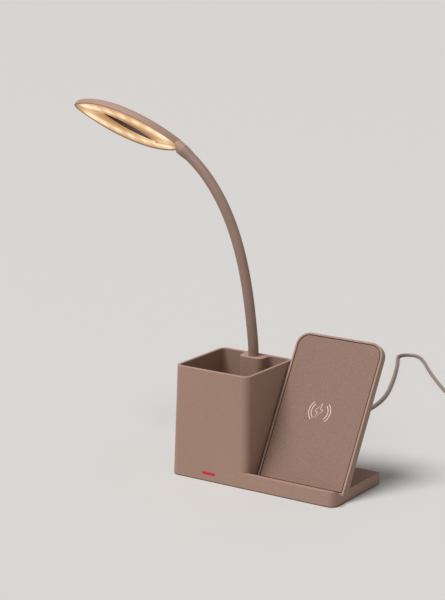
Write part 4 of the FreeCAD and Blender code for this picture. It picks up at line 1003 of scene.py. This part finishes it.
def coil_height(angle):
    """Height of the cable's centre in the coil: the lower layer, then the upper one."""
    return FLOOR + 2 * CABLE_RADIUS * eased(angle, LAYER_CHANGE)


for angle in range(COIL_STEP, COIL_END, COIL_STEP):
    turn = math.radians(angle + COIL_START)
    radius = (COIL_MID + COIL_PITCH * coil_row(angle)) * COIL_OUTSET
    cable_points.append((COIL_CENTRE[0] + radius * math.cos(turn),
                         COIL_CENTRE[1] + radius * math.sin(turn), coil_height(angle)))
cable_points += [
    (0.0607, 0.3340, 0.0048),
    (0.0610, 0.3460, 0.0044),
    (0.0677, 0.3560, 0.0020),
    (0.0796, 0.3576, FLOOR),
    (0.0885, 0.3496, 0.0022),
    (0.0885, 0.3386, 0.0038),
]
print("the whole route has", len(cable_points), "points")


# %% The cable as a curve
def cable_curve():
    """The whole cable as one smooth open curve through its route."""
    data = bpy.data.curves.new("usb_cable", "CURVE")
    data.dimensions = "3D"
    spline = data.splines.new("NURBS")
    spline.points.add(len(cable_points) - 1)
    for point, place in zip(spline.points, cable_points):
        point.co = (*place, 1)
    spline.order_u = 3
    spline.use_endpoint_u = True
    spline.resolution_u = 6
    data.bevel_depth = CABLE_RADIUS
    data.bevel_resolution = 5
    data.use_fill_caps = True
    data.materials.append(jacket)
    return new_object("usb_cable", data)


cable = cable_curve()
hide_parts("cable_tube", "cable_coil", "cable_tail")
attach(cable, "base")
print("cable", 2 * CABLE_RADIUS, "m thick")

# %% [markdown]
# ## Bend reliefs
# Where the cable enters a plug, a soft tapered sleeve with rings cut round it keeps the jacket
# from kinking. The rings are a rule and not a drawing: the sleeve's radius falls evenly from the
# plug to the cable, and a wave of the distance along it presses each groove in.

# %% A tree that sweeps a ribbed, tapered sleeve
RELIEF_SIDES = 32
WAVE_DEEP = -0.7           # below this the wave cuts to the groove's full depth
WAVE_CLEAR = 0.1           # and above this it cuts nothing


def relief_tree():
    """Geometry Nodes: line of points in, closed sleeve out, tapered and with grooves round it."""
    tree, start = start_tree("ribbed_relief", Start_Radius="Float", End_Radius="Float",
                             Grooves="Float", Groove_Depth="Float")
    along = add_node(tree, "GeometryNodeSplineParameter")
    taper = add_node(tree, "ShaderNodeMapRange")
    turns = add_node(tree, "ShaderNodeMath", operation="MULTIPLY")
    angle = add_node(tree, "ShaderNodeMath", operation="MULTIPLY")
    angle.inputs[1].default_value = 2 * math.pi
    wave = add_node(tree, "ShaderNodeMath", operation="COSINE")
    groove = add_node(tree, "ShaderNodeMapRange", interpolation_type="SMOOTHSTEP",
                      From_Min=WAVE_DEEP, From_Max=WAVE_CLEAR, To_Max=0.0)
    radius = add_node(tree, "ShaderNodeMath", operation="SUBTRACT")
    ring = add_node(tree, "GeometryNodeCurvePrimitiveCircle", Resolution=RELIEF_SIDES, Radius=1.0)
    sweep = sweep_along(tree, start, line_in(tree, start), ring)
    join(along, "Factor", taper, "Value")
    join(start, "Start Radius", taper, "To Min")
    join(start, "End Radius", taper, "To Max")
    join(along, "Factor", turns, 0)
    join(start, "Grooves", turns, 1)
    join(turns, "Value", angle, 0)
    join(angle, "Value", wave, 0)
    join(wave, "Value", groove, "Value")
    join(start, "Groove Depth", groove, "To Min")
    join(taper, "Result", radius, 0)
    join(groove, "Result", radius, 1)
    join(radius, "Value", sweep, "Scale")
    return tree


relief_rule = relief_tree()
print("tree", relief_rule.name)

# %% Plugs, reliefs and the tie
RELIEF_LENGTH = 0.013
RELIEF_RADIUS = 0.0027
RELIEF_END_RADIUS = 0.0019
RELIEF_GROOVES = 6.0
GROOVE_DEPTH = 0.00045
RELIEF_STEPS = 96
PLUG_ROUND = 0.0008
TIE_ROUND = 0.0004


def bend_relief(name, cable_end, replaced):
    """Ribbed sleeve from a plug's back to the cable's end, straight to the rear."""
    points = [Vector(cable_end) - Vector((0, RELIEF_LENGTH * (1 - i / RELIEF_STEPS), 0))
              for i in range(RELIEF_STEPS + 1)]
    relief = grown(line_object(name, points), relief_rule, Start_Radius=RELIEF_RADIUS,
                   End_Radius=RELIEF_END_RADIUS, Grooves=RELIEF_GROOVES, Groove_Depth=GROOVE_DEPTH,
                   Material=plug_plastic)
    smooth(relief, degrees=50.0)
    dress(relief, "base", None, [replaced])
    return relief


moulded("usb_c_plug_body", "inlet_grip", "plug", plug_plastic, PLUG_ROUND, segments=4, angle=40.0)
bend_relief("inlet_relief", cable_points[0], "usb_c_relief")
far_grip = moulded("usb_a_plug_body", "far_grip", "plug", plug_plastic, PLUG_ROUND, segments=4, angle=40.0)
far_relief = bend_relief("far_relief", cable_points[-1], "usb_a_relief")
coil_tie = moulded("cable_tie", "coil_tie", "grip", rubber, TIE_ROUND, segments=2, angle=40.0)

# %% [markdown]
# ## Screws and the charging coil
# The cover's screws have a cross for the screwdriver. The cross is two bars, which a tree puts
# on every screw and takes away from its head. The charging coil is copper wire wound in a flat
# spiral, so it is a spiral curve with a round section swept along it.

# %% Cross recesses in the cover's screws
CROSS_LENGTH = 0.0030
CROSS_WIDTH = 0.0006
CROSS_DEPTH = 0.0009


def recess_tree():
    """Geometry Nodes: screws in, the same screws out with a cross cut into each head."""
    tree, start = start_tree("cross_recess", Places="Object")
    places = add_node(tree, "GeometryNodeObjectInfo")
    cut = add_node(tree, "GeometryNodeMeshBoolean", operation="DIFFERENCE")
    join(start, "Places", places, "Object")
    join(start, "Geometry", cut, "Mesh 1")
    for size in ((CROSS_LENGTH, CROSS_WIDTH), (CROSS_WIDTH, CROSS_LENGTH)):
        bar = add_node(tree, "GeometryNodeMeshCube", Size=(*size, 2 * CROSS_DEPTH))
        spread = add_node(tree, "GeometryNodeInstanceOnPoints")
        cutter = add_node(tree, "GeometryNodeRealizeInstances")
        join(places, "Geometry", spread, "Points")
        join(bar, "Mesh", spread, "Instance")
        join(spread, "Instances", cutter, "Geometry")
        join(cutter, "Geometry", cut, "Mesh 2")
    end_tree(tree, start, cut)
    return tree


def joined_groups(mesh):
    """Lists of vertices, one for each separate closed shape of a mesh."""
    groups = []
    seen = set()
    for first in mesh.verts:
        if first in seen:
            continue
        seen.add(first)
        group = [first]
        for vertex in group:
            for edge in vertex.link_edges:
                other = edge.other_vert(vertex)
                if other not in seen:
                    seen.add(other)
                    group.append(other)
        groups.append(group)
    return groups


def crossed_screws():
    """The cover's screws with their recesses."""
    mesh = solid_copy("cover_screws")
    places = []
    for group in joined_groups(mesh):
        low = min(vertex.co.z for vertex in group)
        middle = sum((vertex.co for vertex in group), Vector()) / len(group)
        places.append((middle.x, middle.y, low))
    marks = line_object("screw_places", places)
    screws = grown(settled("crossed_screws", mesh), recess_tree(), Places=marks, Material=steel)
    bpy.data.objects.remove(marks)
    smooth(screws)
    dress(screws, "base", None, ["cover_screws"])


crossed_screws()

# %% Wound charging coil
COIL_TURNS = 12.0
COIL_FINENESS = 56         # points along each turn
WIRE_RADIUS = 0.00055
WIRE_SIDES = 10


def spiral_tree():
    """Geometry Nodes: flat spiral of round wire. The geometry that comes in isn't used."""
    tree, start = start_tree("wound_spiral", Turns="Float", Inner_Radius="Float",
                             Outer_Radius="Float", Wire_Radius="Float")
    spiral = add_node(tree, "GeometryNodeCurveSpiral", Resolution=COIL_FINENESS, Height=0.0)
    ring = add_node(tree, "GeometryNodeCurvePrimitiveCircle", Resolution=WIRE_SIDES)
    join(start, "Turns", spiral, "Rotations")
    join(start, "Inner Radius", spiral, "Start Radius")
    join(start, "Outer Radius", spiral, "End Radius")
    join(start, "Wire Radius", ring, "Radius")
    sweep_along(tree, start, spiral, ring)
    return tree


def wound_coil():
    """The charging coil as a spiral of wire, in the room of its solid."""
    corners = [vertex.co for vertex in nodes["charging_coil"].data.vertices]
    middle = sum(corners, Vector()) / len(corners)
    spokes = [corner - middle for corner in corners]
    reaches = [(spoke - stand_out * spoke.dot(stand_out)).length for spoke in spokes]
    seed = drawn("wound_coil", [(0, 0, 0)])
    coil = grown(seed, spiral_tree(), Turns=COIL_TURNS, Inner_Radius=min(reaches) + WIRE_RADIUS,
                 Outer_Radius=max(reaches) - WIRE_RADIUS, Wire_Radius=WIRE_RADIUS, Material=copper)
    turn = Matrix(((1, 0, 0), stand_up, stand_out)).transposed()
    for vertex in coil.data.vertices:
        vertex.co = middle + turn @ vertex.co
    smooth(coil, degrees=60.0)
    dress(coil, "base", None, ["charging_coil"])


wound_coil()

# %% [markdown]
# ## The rest of the solids
# The inner screws, the boards, the ballast, the plugs' metal shells, the neck's core, the red
# window and the rubber pad keep their solids, and get their finishes here.

# %% Finishes for the carried-over solids
CARRIED = {
    steel: ["board_screws", "usb_c_socket", "stand_screws", "neck_ferrule", "neck_washer",
            "neck_nut", "head_screws", "usb_c_plug_shell", "usb_a_plug_shell"]
           + ["neck_core_%d" % i for i in range(NECK_JOINTS + 1)],
    dark_steel: ["ballast_plate"],
    board_lacquer: ["main_board", "indicator_led", "charger_board"],
    part_plastic: ["board_parts"],
    copper: ["touch_pad"],
    ferrite: ["ferrite_sheet"],
    white_board: ["head_board"],
    chip_light: ["head_leds"],
    red_window: ["indicator_window"],
    rubber: ["grip_pad"],
    jacket: ["lamp_lead"],
}
for material, names in CARRIED.items():
    for name in names:
        coat(nodes[name], material)
print("finished", sum(len(names) for names in CARRIED.values()), "carried-over solids")

# %% [markdown]
# ## Floor and light
# A plain pale floor and soft light from the front left, as in a small studio. A wide sun gives
# the soft shadow, and an even pale world fills the rest, so that a colour looks as written.

# %% Floor
FLOOR_SIZE = 30.0
FLOOR_COLOUR = (0.53, 0.515, 0.50)
corners = [(x * FLOOR_SIZE / 2, y * FLOOR_SIZE / 2, 0) for x, y in ((-1, -1), (1, -1), (1, 1), (-1, 1))]
floor = drawn("floor", corners, [], [(0, 1, 2, 3)])
floor_paint, _, floor_shader = start_material("floor_paint")
adjust(floor_shader, Base_Color=(*FLOOR_COLOUR, 1), Roughness=0.7)
coat(floor, floor_paint)
print("floor", FLOOR_SIZE, "m wide")

# %% Light
WORLD_LIGHT = 0.32
WORLD_COLOUR = (1.0, 0.99, 0.98)
SUN_LIGHT = 3.5
SUN_WIDTH = math.radians(30)
SUN_FROM = Vector((-0.20, -0.38, 0.90))
world = bpy.data.worlds.new("soft_room")
world.use_nodes = True
adjust(world.node_tree.nodes["Background"], Color=(*WORLD_COLOUR, 1), Strength=WORLD_LIGHT)
scene.world = world
key = bpy.data.lights.new("key", "SUN")
key.energy = SUN_LIGHT
key.angle = SUN_WIDTH
new_object("key", key).rotation_euler = (-SUN_FROM).to_track_quat("-Z", "Y").to_euler()
scene.view_settings.view_transform = "Standard"
print("light ready")
